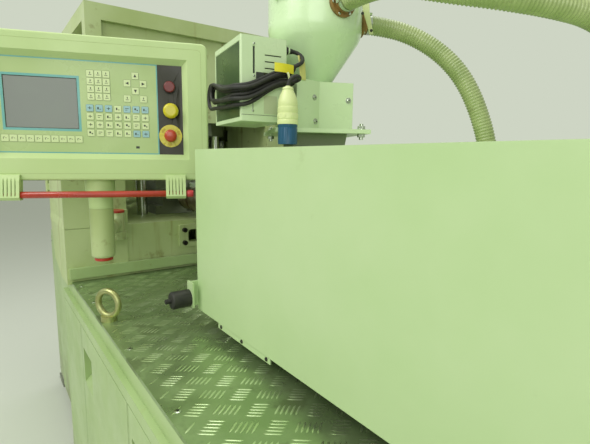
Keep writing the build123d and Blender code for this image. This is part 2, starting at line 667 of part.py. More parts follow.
def make_clamp_body():
    front = corner_housing()
    save("corner_housings", front, mirror(front, about=Plane.XZ))

    inner_y = HOUSING_OUTER_Y - HOUSING_WIDTH - HOUSING_CLEARANCE
    step_x = HOUSING_FACE_X - HOUSING_LENGTH - HOUSING_CLEARANCE
    table_z = (FRAME_TOP_Z, TABLE_TOP_Z)
    table = span_box((step_x, TABLE_FACE_X), (-inner_y, inner_y), table_z)
    table += span_box((TABLE_FAR_X, step_x), (CLAMP_FRONT_Y, CLAMP_BACK_Y), table_z)
    hollow_z = (FRAME_TOP_Z - 1, TABLE_TOP_Z - TABLE_TOP_THICKNESS)
    wall = TABLE_WALL
    table -= span_box((step_x - wall, TABLE_FACE_X - wall), (-inner_y + wall, inner_y - wall), hollow_z)
    wide_y = (CLAMP_FRONT_Y + wall, CLAMP_BACK_Y - wall)
    table -= span_box((TABLE_FAR_X + wall, step_x - wall), wide_y, hollow_z)
    table -= post(TURRET_X, 0.0, (FRAME_TOP_Z, TABLE_TOP_Z + 1), COLUMN_R + RUNNING_GAP)
    slot_z = (CARRIAGE_ROD_Z - SLOT_HEIGHT / 2, CARRIAGE_ROD_Z + SLOT_HEIGHT / 2)
    table -= span_box((TABLE_FACE_X - wall - 1, TABLE_FACE_X + 1), (-SLOT_HALF, SLOT_HALF), slot_z)

    face = Plane(origin=(TABLE_FACE_X, 0, 0), x_dir=(0, 1, 0), z_dir=(1, 0, 0))
    middle_z = sum(ANCHOR_PLATE_Z) / 2
    plate = RectangleRounded(2 * ANCHOR_PLATE_HALF, ANCHOR_PLATE_Z[1] - ANCHOR_PLATE_Z[0], 6)
    window = RectangleRounded(2 * SLOT_HALF, SLOT_HEIGHT, 12)
    anchor = extrude(face * (Pos(0, middle_z) * plate - Pos(0, CARRIAGE_ROD_Z) * window), ANCHOR_PLATE_THICKNESS)
    # A bar across the window holds the end of the carriage cylinder's rod.
    bar_x = (TABLE_FACE_X - wall, TABLE_FACE_X + ANCHOR_PLATE_THICKNESS)
    bar = span_box(bar_x, (-24.0, 24.0), slot_z)
    screws = []
    for y in (-CAP_SCREW_Y, CAP_SCREW_Y):
        for z in (CARRIAGE_ROD_Z - CAP_SCREW_PITCH / 2, CARRIAGE_ROD_Z + CAP_SCREW_PITCH / 2):
            head_x = TABLE_FACE_X + ANCHOR_PLATE_THICKNESS
            head = rod((head_x, y, z), (head_x + CAP_SCREW_HEAD, y, z), CAP_SCREW_HEAD_R)
            socket = RegularPolygon(CAP_SCREW_SHANK_R, 6)
            rim = Plane(origin=(head_x + CAP_SCREW_HEAD, y, z), z_dir=(1, 0, 0))
            head -= extrude(rim * socket, -CAP_SCREW_HEAD / 2)
            shank = rod((TABLE_FACE_X - 20, y, z), (head_x, y, z), CAP_SCREW_SHANK_R)
            anchor -= shank
            table -= shank
            screws.append(head + shank)
    save("clamp_table", table, anchor, bar)
    save("cap_screws", *screws)


def bow_handle(x, front, z):
    """A round bow handle on a door's front."""
    low, high = z
    reach = front - BOW_HANDLE_REACH
    route = FilletPolyline((x, front, low), (x, reach, low + 12), (x, reach, high - 12), (x, front, high), radius=14)
    bow = sweep(Plane(origin=route @ 0, z_dir=route % 0) * Circle(BOW_HANDLE_R), path=route)
    return bow - span_box((x - 50, x + 50), (front, front + 50), (low - 50, high + 50))


def make_guard():
    tube = GUARD_TUBE
    ring_z = (GUARD_TOP_Z - tube, GUARD_TOP_Z)
    ring_x = (CLAMP_END_X, HOUSING_FACE_X)
    ring_y = (CLAMP_FRONT_Y, CLAMP_BACK_Y)
    sides = ((ring_y[0], ring_y[0] + tube), (ring_y[1] - tube, ring_y[1]))
    members = [span_box(ring_x, side, ring_z) for side in sides]
    for end in ((ring_x[0], ring_x[0] + tube), (ring_x[1] - tube, ring_x[1])):
        members.append(span_box(end, (sides[0][1], sides[1][0]), ring_z))
    far_x = (TABLE_FAR_X, TABLE_FAR_X + tube * 0.3)
    for side in sides:
        members.append(span_box(far_x, side, (TABLE_TOP_Z, ring_z[0])))
        members.append(span_box((HOUSING_FACE_X - tube, HOUSING_FACE_X), side, (HOUSING_TOP_Z, ring_z[0])))
    mid_x = (GUARD_DOOR_X[1] + DOOR_GAP, GUARD_DOOR_X[1] + DOOR_GAP + tube * 0.8)
    members.append(span_box(mid_x, sides[0], (TABLE_TOP_Z, ring_z[0])))
    roof = span_box(ring_x, ring_y, (GUARD_TOP_Z, GUARD_TOP_Z + GUARD_SHEET))
    back_x = (CLAMP_END_X, HOUSING_FACE_X - HOUSING_LENGTH - HOUSING_CLEARANCE)
    back_y = (CLAMP_BACK_Y - GUARD_SHEET, CLAMP_BACK_Y)
    back = span_box(back_x, back_y, (TABLE_TOP_Z, ring_z[0]))
    near_x = (HOUSING_FACE_X - 20, HOUSING_FACE_X - 20 + GUARD_SHEET)
    near_y = (CLAMP_FRONT_Y + tube, CLAMP_BACK_Y - tube)
    near = span_box(near_x, near_y, (HOUSING_TOP_Z - 160, ring_z[0]))
    inner_y = HOUSING_OUTER_Y - HOUSING_WIDTH
    near -= span_box((near_x[0] - 1, near_x[1] + 1), (-600, -inner_y), (0, HOUSING_TOP_Z))
    near -= span_box((near_x[0] - 1, near_x[1] + 1), (inner_y, 600), (0, HOUSING_TOP_Z))
    # The far end is closed by a sheet with an outlet for the stripped bottles.
    end_x = (TABLE_FAR_X + 6, TABLE_FAR_X + 6 + GUARD_SHEET)
    end = span_box(end_x, near_y, (TABLE_TOP_Z, ring_z[0]))
    end -= span_box((end_x[0] - 1, end_x[1] + 1), OUTLET_Y, OUTLET_Z)
    hinge_x, hinge_y = GUARD_HINGE
    for z in GUARD_HINGE_ZS:
        low, high = z - HINGE_HALF - HINGE_LUG, z + HINGE_HALF + HINGE_LUG
        hinge = post(hinge_x, hinge_y, (low, high), HINGE_PIN_R)
        for lug_z in ((low, z - HINGE_HALF - SLIDE_GAP), (z + HINGE_HALF + SLIDE_GAP, high)):
            hinge += post(hinge_x, hinge_y, lug_z, HINGE_R)
            hinge += span_box((TABLE_FAR_X + 1, hinge_x), (hinge_y - 4, CLAMP_FRONT_Y), lug_z)
        members.append(hinge)
    save("guard_frame", *members, roof, back, near, end)

    door_y = (CLAMP_FRONT_Y, CLAMP_FRONT_Y + GUARD_DOOR_DEPTH)
    door = span_box(GUARD_DOOR_X, door_y, GUARD_DOOR_Z)
    rim = GUARD_DOOR_RIM
    hole_x = (GUARD_DOOR_X[0] + rim, GUARD_DOOR_X[1] - rim)
    hole_z = (GUARD_DOOR_Z[0] + rim, GUARD_DOOR_Z[1] - rim)
    door -= span_box(hole_x, (door_y[0] - 1, door_y[1] + 1), hole_z)
    for z in GUARD_HINGE_ZS:
        knuckle_z = (z - HINGE_HALF, z + HINGE_HALF)
        door += post(hinge_x, hinge_y, knuckle_z, HINGE_R)
        door += span_box((hinge_x, hinge_x + 20), (hinge_y - 4, CLAMP_FRONT_Y), knuckle_z)
        door -= post(hinge_x, hinge_y, (z - HINGE_HALF - 1, z + HINGE_HALF + 1), HINGE_PIN_R + RUNNING_GAP)
    pane_y = (door_y[0] + 10, door_y[0] + 10 + WINDOW_THICKNESS)
    save("guard_door", door, bow_handle(GUARD_DOOR_X[1] - rim / 2, door_y[0], GUARD_GRIP_Z))
    save("guard_door_window", span_box(hole_x, pane_y, hole_z))


def make_clamp_door():
    front = CLAMP_FRONT_Y - CLAMP_DOOR_DEPTH
    back = CLAMP_FRONT_Y - SLIDE_GAP
    door = span_box(CLAMP_DOOR_X, (front, back), CLAMP_DOOR_Z)
    inner_x = (CLAMP_DOOR_X[0] + DOOR_SHEET, CLAMP_DOOR_X[1] - DOOR_SHEET)
    inner_z = (CLAMP_DOOR_Z[0] + DOOR_SHEET, CLAMP_DOOR_Z[1] - DOOR_SHEET)
    door -= span_box(inner_x, (front + DOOR_SHEET, back + 1), inner_z)
    handle_x = CLAMP_DOOR_X[1] - BOW_HANDLE_INSET
    caps = []
    for z in LATCH_CAP_ZS:
        cap = rod((handle_x, front, z), (handle_x, front - LATCH_CAP_LENGTH, z), LATCH_CAP_R)
        caps.append(fillet(cap.edges().sort_by(Axis.Y)[0], 4))
    save("clamp_door", door, *caps)
    save("clamp_door_handle", bow_handle(handle_x, front, BOW_HANDLE_Z))


def station(angle):
    """The place of a station: its local +X points outwards from the turret."""
    return Pos(TURRET_X, 0, 0) * Rot(0, 0, angle)


def cavities(z, radius):
    """Round cavities for one row of cores, lying along the station."""
    rows = []
    for index in range(CORE_COUNT):
        y = (index - (CORE_COUNT - 1) / 2) * CORE_PITCH
        inner = MOULD_RADII[0] - 1
        rows.append(rod((inner, y, z), (CORE_TIP_RADIUS + CAVITY_GAP / 2, y, z), radius))
    return rows


def mould_half(z, cavity_r):
    """One mould block in station coordinates, cut by its row of cavities."""
    block = span_box(MOULD_RADII, (-MOULD_HALF_WIDTH, MOULD_HALF_WIDTH), z)
    for cavity in cavities(PART_LINE_Z if z[0] < PART_LINE_Z else z[0], cavity_r):
        block -= cavity
    return block


def make_lower_tooling():
    top = TABLE_TOP_Z
    mould_z = (PART_LINE_Z - MOULD_HEIGHT, PART_LINE_Z)
    tools = []
    for angle, cavity_r in ((INJECTION_ANGLE, CORE_R + CAVITY_GAP), (BLOW_ANGLE, CORE_R + 2 * CAVITY_GAP)):
        place = station(angle)
        tools.append(place * mould_half(mould_z, cavity_r))
        outer = MANIFOLD_FACE_X - TURRET_X if angle == INJECTION_ANGLE else MOULD_RADII[1] + 20
        bolster_y = (-MOULD_HALF_WIDTH - 20, MOULD_HALF_WIDTH + 20)
        tools.append(place * span_box((MOULD_RADII[0], outer), bolster_y, (top, top + BOLSTER_HEIGHT)))
        manifold_y = (-MOULD_HALF_WIDTH + 10, MOULD_HALF_WIDTH - 10)
        manifold = span_box((MOULD_RADII[0], outer), manifold_y, (top + BOLSTER_HEIGHT, mould_z[0]))
        if angle == INJECTION_ANGLE:
            seat_x = outer + (NOZZLE_TIP_X - MANIFOLD_FACE_X)
            manifold -= rod((outer - 40, 0, BARREL_Z), (seat_x, 0, BARREL_Z), NOZZLE_BORE_R)
        tools.append(place * manifold)
    strip = station(STRIP_ANGLE)
    start = STRIPPER_RADIUS - 30
    for y in (-STRIPPER_RAIL_Y, STRIPPER_RAIL_Y):
        rail = rod((start, y, STRIPPER_RAIL_Z), (start + STRIPPER_RAIL_LENGTH, y, STRIPPER_RAIL_Z), STRIPPER_RAIL_R)
        for x in (start, start + STRIPPER_RAIL_LENGTH - 16):
            rail += span_box((x, x + 16), (y - 18, y + 18), (top, STRIPPER_RAIL_Z + 18))
        tools.append(strip * rail)
    save("lower_tooling", *tools)


def make_stripper():
    top = PART_LINE_Z + 10
    x = (STRIPPER_RADIUS, STRIPPER_RADIUS + STRIPPER_THICKNESS)
    low = STRIPPER_RAIL_Z - 26
    plate = span_box(x, (-STRIPPER_HALF_WIDTH, STRIPPER_HALF_WIDTH), (low, top))
    for index in range(CORE_COUNT):
        y = (index - (CORE_COUNT - 1) / 2) * CORE_PITCH
        plate -= rod((x[0] - 1, y, PART_LINE_Z), (x[1] + 1, y, PART_LINE_Z), STRIPPER_NOTCH_R)
        plate -= span_box((x[0] - 1, x[1] + 1), (y - STRIPPER_NOTCH_R, y + STRIPPER_NOTCH_R), (PART_LINE_Z, top + 1))
    for y in (-STRIPPER_RAIL_Y, STRIPPER_RAIL_Y):
        boss = rod((x[0], y, STRIPPER_RAIL_Z), (x[0] + 40, y, STRIPPER_RAIL_Z), STRIPPER_RAIL_R + 12)
        bore_r = STRIPPER_RAIL_R + RUNNING_GAP
        plate += boss
        plate -= rod((x[0] - 1, y, STRIPPER_RAIL_Z), (x[0] + 41, y, STRIPPER_RAIL_Z), bore_r)
    save("stripper_plate", station(STRIP_ANGLE) * plate)


def tie_places():
    """The four tie rods, two at each clamping station."""
    return [heading(angle + side * TIE_ANGLE, TIE_RADIUS, (TURRET_X, 0.0))
            for angle in (INJECTION_ANGLE, BLOW_ANGLE) for side in (-1, 1)]


def make_clamp_press():
    columns = []
    for x, y in tie_places():
        column = post(x, y, (TABLE_TOP_Z, BEAM_Z[1]), TIE_ROD_R)
        column += post(x, y, (BEAM_Z[1], BEAM_Z[1] + TIE_NUT_HEIGHT), TIE_NUT_R)
        columns.append(column)
    save("tie_columns", *columns)

    tie_x = TIE_RADIUS * cos(radians(TIE_ANGLE))
    tie_y = TIE_RADIUS * sin(radians(TIE_ANGLE))
    beam = None
    for angle in (INJECTION_ANGLE, BLOW_ANGLE):
        cross = span_box((STATION_RADIUS - 90, tie_x + 50), (-tie_y - 50, tie_y + 50), BEAM_Z)
        arm = span_box((-60, STATION_RADIUS), (-75, 75), BEAM_Z)
        piece = station(angle) * ((cross + arm) & Pos(0, 0, BEAM_Z[0]) * Cylinder(STATION_LIMIT_R + 10, 400))
        beam = piece if beam is None else beam + piece
    for angle in (INJECTION_ANGLE, BLOW_ANGLE):
        x, y = heading(angle, STATION_RADIUS, (TURRET_X, 0.0))
        beam += post(x, y, (BEAM_Z[1], CLAMP_CYLINDER_TOP_Z), CLAMP_CYLINDER_R)
        bore_z = (BEAM_Z[1] + CLAMP_CYLINDER_WALL, CLAMP_CYLINDER_TOP_Z - CLAMP_CYLINDER_WALL)
        beam -= post(x, y, bore_z, CLAMP_CYLINDER_BORE_R)
        beam -= post(x, y, (BEAM_Z[0] - 1, bore_z[0] + 1), PISTON_ROD_R + RUNNING_GAP)
    for x, y in tie_places():
        beam -= post(x, y, (BEAM_Z[0] - 1, BEAM_Z[1] + 1), TIE_ROD_R)
    save("top_beam", beam)

    mould_z = (PART_LINE_Z + CLAMP_STROKE, PART_LINE_Z + CLAMP_STROKE + MOULD_HEIGHT)
    platen_z = (mould_z[1], mould_z[1] + PLATEN_HEIGHT)
    piston_top = CLAMP_CYLINDER_TOP_Z - CLAMP_CYLINDER_WALL - 8
    for name, angle, cavity_r in (("injection_platen", INJECTION_ANGLE, CORE_R + CAVITY_GAP),
                                  ("blow_platen", BLOW_ANGLE, CORE_R + 2 * CAVITY_GAP)):
        platen = span_box((MOULD_RADII[0], tie_x + 40), (-tie_y - 40, tie_y + 40), platen_z)
        platen &= Pos(0, 0, platen_z[0]) * Cylinder(STATION_LIMIT_R, 400)
        for y in (-tie_y, tie_y):
            platen -= post(tie_x, y, (platen_z[0] - 1, platen_z[1] + 1), TIE_ROD_R + RUNNING_GAP)
        platen += post(STATION_RADIUS, 0, (platen_z[1], piston_top), PISTON_ROD_R)
        platen += post(STATION_RADIUS, 0, (piston_top - PISTON_HEIGHT, piston_top),
                       CLAMP_CYLINDER_BORE_R - RUNNING_GAP)
        save(name, station(angle) * platen, station(angle) * mould_half(mould_z, cavity_r))


def make_turret():
    head_z = (CORE_Z - HEAD_HEIGHT / 2, CORE_Z + HEAD_HEIGHT / 2)
    column = post(TURRET_X, 0, (TABLE_TOP_Z - 150, head_z[0]), COLUMN_R)
    column += post(TURRET_X, 0, (head_z[0] - 20, head_z[0]), COLUMN_R + 35)
    column += post(TURRET_X, 0, (head_z[0], head_z[1] - 15), COLUMN_R - 10)
    save("turret_column", column)

    blank = extrude(RegularPolygon(HEAD_APOTHEM, 3, major_radius=False, rotation=60), HEAD_HEIGHT)
    blank &= Cylinder(HEAD_CORNER_R, HEAD_HEIGHT * 3)
    head = Pos(TURRET_X, 0, head_z[0]) * blank
    head -= post(TURRET_X, 0, (head_z[0] - 1, head_z[1] - 15), COLUMN_R - 10 + RUNNING_GAP)
    cores = []
    bar_outer = HEAD_APOTHEM + CORE_BAR_DEPTH
    for angle in (INJECTION_ANGLE, BLOW_ANGLE, STRIP_ANGLE):
        bar = span_box((HEAD_APOTHEM, bar_outer), (-CORE_BAR_WIDTH / 2, CORE_BAR_WIDTH / 2),
                       (CORE_Z - CORE_BAR_HEIGHT / 2, CORE_Z + CORE_BAR_HEIGHT / 2))
        cores.append(station(angle) * bar)
        for index in range(CORE_COUNT):
            y = (index - (CORE_COUNT - 1) / 2) * CORE_PITCH
            core = rod((bar_outer, y, CORE_Z), (CORE_TIP_RADIUS, y, CORE_Z), CORE_R)
            cores.append(station(angle) * fillet(core.edges().sort_by(Axis.X)[-1], CORE_R - 2))
    save("turret_head", head)
    save("core_rods", *cores)


def make_rails():
    pieces = []
    for y in (-RAIL_Y, RAIL_Y):
        rail_y = (y - RAIL_WIDTH / 2, y + RAIL_WIDTH / 2)
        pieces.append(span_box(RAIL_X, rail_y, (DECK_TOP_Z, RAIL_TOP_Z)))
    start = TABLE_FACE_X + ANCHOR_PLATE_THICKNESS
    end = CARRIAGE_ROD_END_X
    piston_x = end - CARRIAGE_PISTON_LENGTH
    carriage_rod = rod((start, 0, CARRIAGE_ROD_Z), (end, 0, CARRIAGE_ROD_Z), CARRIAGE_ROD_R)
    carriage_rod += rod((piston_x, 0, CARRIAGE_ROD_Z), (end, 0, CARRIAGE_ROD_Z), CARRIAGE_BORE_R - RUNNING_GAP)
    save("carriage_rails", *pieces, carriage_rod)


def make_injection_unit():
    plate = span_box(CARRIAGE_PLATE_X, (-CARRIAGE_PLATE_HALF, CARRIAGE_PLATE_HALF), CARRIAGE_PLATE_Z)
    for x in SHOES_X:
        for y in (-RAIL_Y, RAIL_Y):
            shoe_z = (RAIL_TOP_Z + SLIDE_GAP, CARRIAGE_PLATE_Z[0])
            shoe_y = (y - RAIL_WIDTH, y + RAIL_WIDTH)
            plate += span_box((x - SHOE_LENGTH / 2, x + SHOE_LENGTH / 2), shoe_y, shoe_z)
    feed = plate + span_box(FEED_X, (-FEED_HALF_WIDTH, FEED_HALF_WIDTH), FEED_Z)
    for y in (-FEED_HALF_WIDTH, FEED_HALF_WIDTH - 30):
        feed += span_box(FEED_X, (y, y + 30), (CARRIAGE_PLATE_Z[1], FEED_Z[0]))
    throat = Pos(THROAT_X, 0, 0) * Rot(0, 0, LOADER_TURN)
    neck_low = throat * (Pos(0, 0, FEED_Z[1]) * Rectangle(THROAT_WIDTH * 0.72, THROAT_WIDTH * 0.72))
    neck_top = throat * (Pos(0, 0, THROAT_TOP_Z) * Rectangle(THROAT_WIDTH, THROAT_WIDTH))
    feed += loft(Sketch() + [neck_low.face(), neck_top.face()])
    feed -= post(THROAT_X, 0, (BARREL_Z, THROAT_TOP_Z + 1), THROAT_BORE_R)
    feed -= rod((FEED_X[0] - 1, 0, BARREL_Z), (FEED_X[1] + 1, 0, BARREL_Z), BARREL_R)
    for side in (-1, 1):
        y = side * SHOT_CYLINDER_Y
        feed += rod((FEED_X[1], y, BARREL_Z), (SHOT_CYLINDER_END_X, y, BARREL_Z), SHOT_CYLINDER_R)
        feed -= rod((FEED_X[1] + 15, y, BARREL_Z), (SHOT_CYLINDER_END_X - 15, y, BARREL_Z), SHOT_BORE_R)
        feed -= rod((FEED_X[1] + 16, y, BARREL_Z), (SHOT_CYLINDER_END_X + 1, y, BARREL_Z), SHOT_ROD_R + RUNNING_GAP)
    rear, ends = CARRIAGE_CYLINDER_X[1], CARRIAGE_CYLINDER_X
    feed += span_box((rear, rear + 20), (-45, 45), (CARRIAGE_PLATE_Z[1], FEED_Z[0]))
    feed += rod((ends[0], 0, CARRIAGE_ROD_Z), (ends[1], 0, CARRIAGE_ROD_Z), CARRIAGE_CYLINDER_R)
    feed -= rod((ends[0] + 15, 0, CARRIAGE_ROD_Z), (ends[1] - 15, 0, CARRIAGE_ROD_Z), CARRIAGE_BORE_R)
    feed -= rod((ends[0] - 1, 0, CARRIAGE_ROD_Z), (ends[0] + 16, 0, CARRIAGE_ROD_Z), CARRIAGE_ROD_R + RUNNING_GAP)
    save("feed_housing", feed)

    barrel_end = FEED_X[1]
    barrel = rod((BARREL_FRONT_X, 0, BARREL_Z), (barrel_end, 0, BARREL_Z), BARREL_R)
    barrel -= rod((BARREL_FRONT_X - 1, 0, BARREL_Z), (barrel_end + 1, 0, BARREL_Z), BARREL_BORE_R)
    barrel -= post(THROAT_X, 0, (BARREL_Z, BARREL_Z + 2 * BARREL_R), THROAT_BORE_R * 0.6)
    tip = Plane(origin=(BARREL_FRONT_X, 0, BARREL_Z), x_dir=(0, 1, 0), z_dir=(-1, 0, 0))
    length = BARREL_FRONT_X - NOZZLE_TIP_X
    profile = ((NOZZLE_BORE_R, 0), (BARREL_R, 0), (BARREL_R, 12), (NOZZLE_R, 22), (NOZZLE_TIP_R, length),
               (NOZZLE_BORE_R, length))
    outline = make_face(Plane.XZ * Polyline(*profile, close=True))
    nozzle = tip.location * revolve(outline, Axis.Z)
    save("barrel", barrel, nozzle)
    bands = []
    for x in BAND_XS:
        band = rod((x, 0, BARREL_Z), (x + BAND_LENGTH, 0, BARREL_Z), BAND_R)
        bands.append(band - rod((x - 1, 0, BARREL_Z), (x + BAND_LENGTH + 1, 0, BARREL_Z), BARREL_R))
    save("heater_bands", *bands)

    front, back = DRIVE_PLATE_X
    drive = span_box(DRIVE_PLATE_X, (-DRIVE_PLATE_HALF, DRIVE_PLATE_HALF), DRIVE_PLATE_Z)
    drive += rod((back, 0, BARREL_Z), (MOTOR_END_X, 0, BARREL_Z), MOTOR_R)
    drive += rod((MOTOR_END_X, 0, BARREL_Z), (MOTOR_END_X + 20, 0, BARREL_Z), MOTOR_R * 0.6)
    drive -= rod((front - 1, 0, BARREL_Z), (back + 20, 0, BARREL_Z), SCREW_R + RUNNING_GAP)
    piston_x = FEED_X[1] + 20
    for side in (-1, 1):
        y = side * SHOT_CYLINDER_Y
        drive += rod((piston_x, y, BARREL_Z), (front, y, BARREL_Z), SHOT_ROD_R)
        drive += rod((piston_x, y, BARREL_Z), (piston_x + 25, y, BARREL_Z), SHOT_BORE_R - RUNNING_GAP)
    save("screw_drive", drive)
    make_screw(back + 18)


def make_screw(end_x):
    """The screw: a root shaft with a raised helical flight, and a plain driven end."""
    tip_x = BARREL_FRONT_X + 4
    flight_end = FEED_X[1] - 40
    screw = rod((tip_x, 0, BARREL_Z), (flight_end, 0, BARREL_Z), SCREW_ROOT_R)
    turns = int((flight_end - tip_x - 30) / SCREW_PITCH)
    collar = SCREW_PITCH * 0.18
    for index in range(turns):
        x = tip_x + 30 + index * SCREW_PITCH
        screw += rod((x, 0, BARREL_Z), (x + collar, 0, BARREL_Z), SCREW_R)
    screw += rod((flight_end, 0, BARREL_Z), (end_x, 0, BARREL_Z), SCREW_R)
    save("screw", screw)


def make_cover():
    sheet = COVER_SHEET
    half = COVER_HALF_WIDTH
    cover = span_box(COVER_X, (-half, half), COVER_Z)
    inner_x = (COVER_X[0] + sheet, COVER_X[1] - sheet)
    cover -= span_box(inner_x, (-half + sheet, half - sheet), (COVER_Z[0] - 1, COVER_Z[1] - sheet))
    mouth_z = (COVER_Z[0] - 1, COVER_MOUTH_TOP_Z)
    mouth_x = (COVER_X[0] - 1, COVER_X[0] + sheet + 1)
    cover -= span_box(mouth_x, (-COVER_MOUTH_HALF, COVER_MOUTH_HALF), mouth_z)
    throat = Pos(THROAT_X, 0, COVER_Z[1]) * Rot(0, 0, LOADER_TURN)
    cover -= throat * Box(COVER_THROAT_HOLE, COVER_THROAT_HOLE, 4 * sheet)
    # Angle brackets hold the cover's sides on the carriage plate and show below its edge.
    angles = []
    for side in (-1, 1):
        outer, plate_y = side * (half - sheet), side * (CARRIAGE_PLATE_HALF - 50)
        inner = outer - side * SKIRT_SHEET
        upright_z = (SKIRT_LOW_Z, CARRIAGE_PLATE_Z[1] + SKIRT_SHEET)
        angle = span_box(SKIRT_X, sorted((outer, inner)), upright_z)
        shelf_z = (CARRIAGE_PLATE_Z[1], CARRIAGE_PLATE_Z[1] + SKIRT_SHEET)
        angle += span_box(SKIRT_X, sorted((inner, plate_y)), shelf_z)
        angles.append(angle)
    # The buffer's bracket sits on the cover's open end.
    low_y = BUFFER_Y[1]
    bracket = span_box(BRACKET_X, (low_y, low_y + BRACKET_SHEET), BRACKET_Z)
    leg_y = (low_y, -COVER_MOUTH_HALF - 20)
    bracket += span_box((COVER_X[0] - BRACKET_SHEET, COVER_X[0]), leg_y, BRACKET_Z)
    save("injection_cover", cover, *angles, bracket)
    buffer = rod((BUFFER_X, BUFFER_Y[0], BUFFER_Z), (BUFFER_X, BUFFER_Y[1], BUFFER_Z), BUFFER_R)
    buffer = fillet(buffer.edges().sort_by(Axis.Y)[0], 5)
    stud_end = BUFFER_Y[0] - BUFFER_STUD
    buffer += rod((BUFFER_X, stud_end, BUFFER_Z), (BUFFER_X, BUFFER_Y[0], BUFFER_Z), 6)
    save("cover_buffer", buffer)


def loader_place():
    """The loader's own frame: +X towards its front face, +Y to that face's right."""
    return Pos(THROAT_X, 0, 0) * Rot(0, 0, LOADER_TURN)


def control_place():
    """The control box's frame: +X to the right along its front, +Y into its depth."""
    return Pos(CONTROL_CORNER[0], CONTROL_CORNER[1], 0) * Rot(0, 0, CONTROL_HEADING)


def funnel(cut, low_z):
    """The round body inside the hopper's cone and shoulder, drawn in by a cut all round."""
    shoulder_z = low_z + CONE_HEIGHT
    side = FilletPolyline((NECK_R - cut, low_z), (CANISTER_R - cut, shoulder_z), (CANISTER_R - cut, DRUM_LOW_Z),
                          radius=SHOULDER_R - cut)
    rest = Polyline(side @ 1, (0, DRUM_LOW_Z), (0, low_z), side @ 0)
    return revolve(Plane.XZ * make_face(side + rest), Axis.Z)


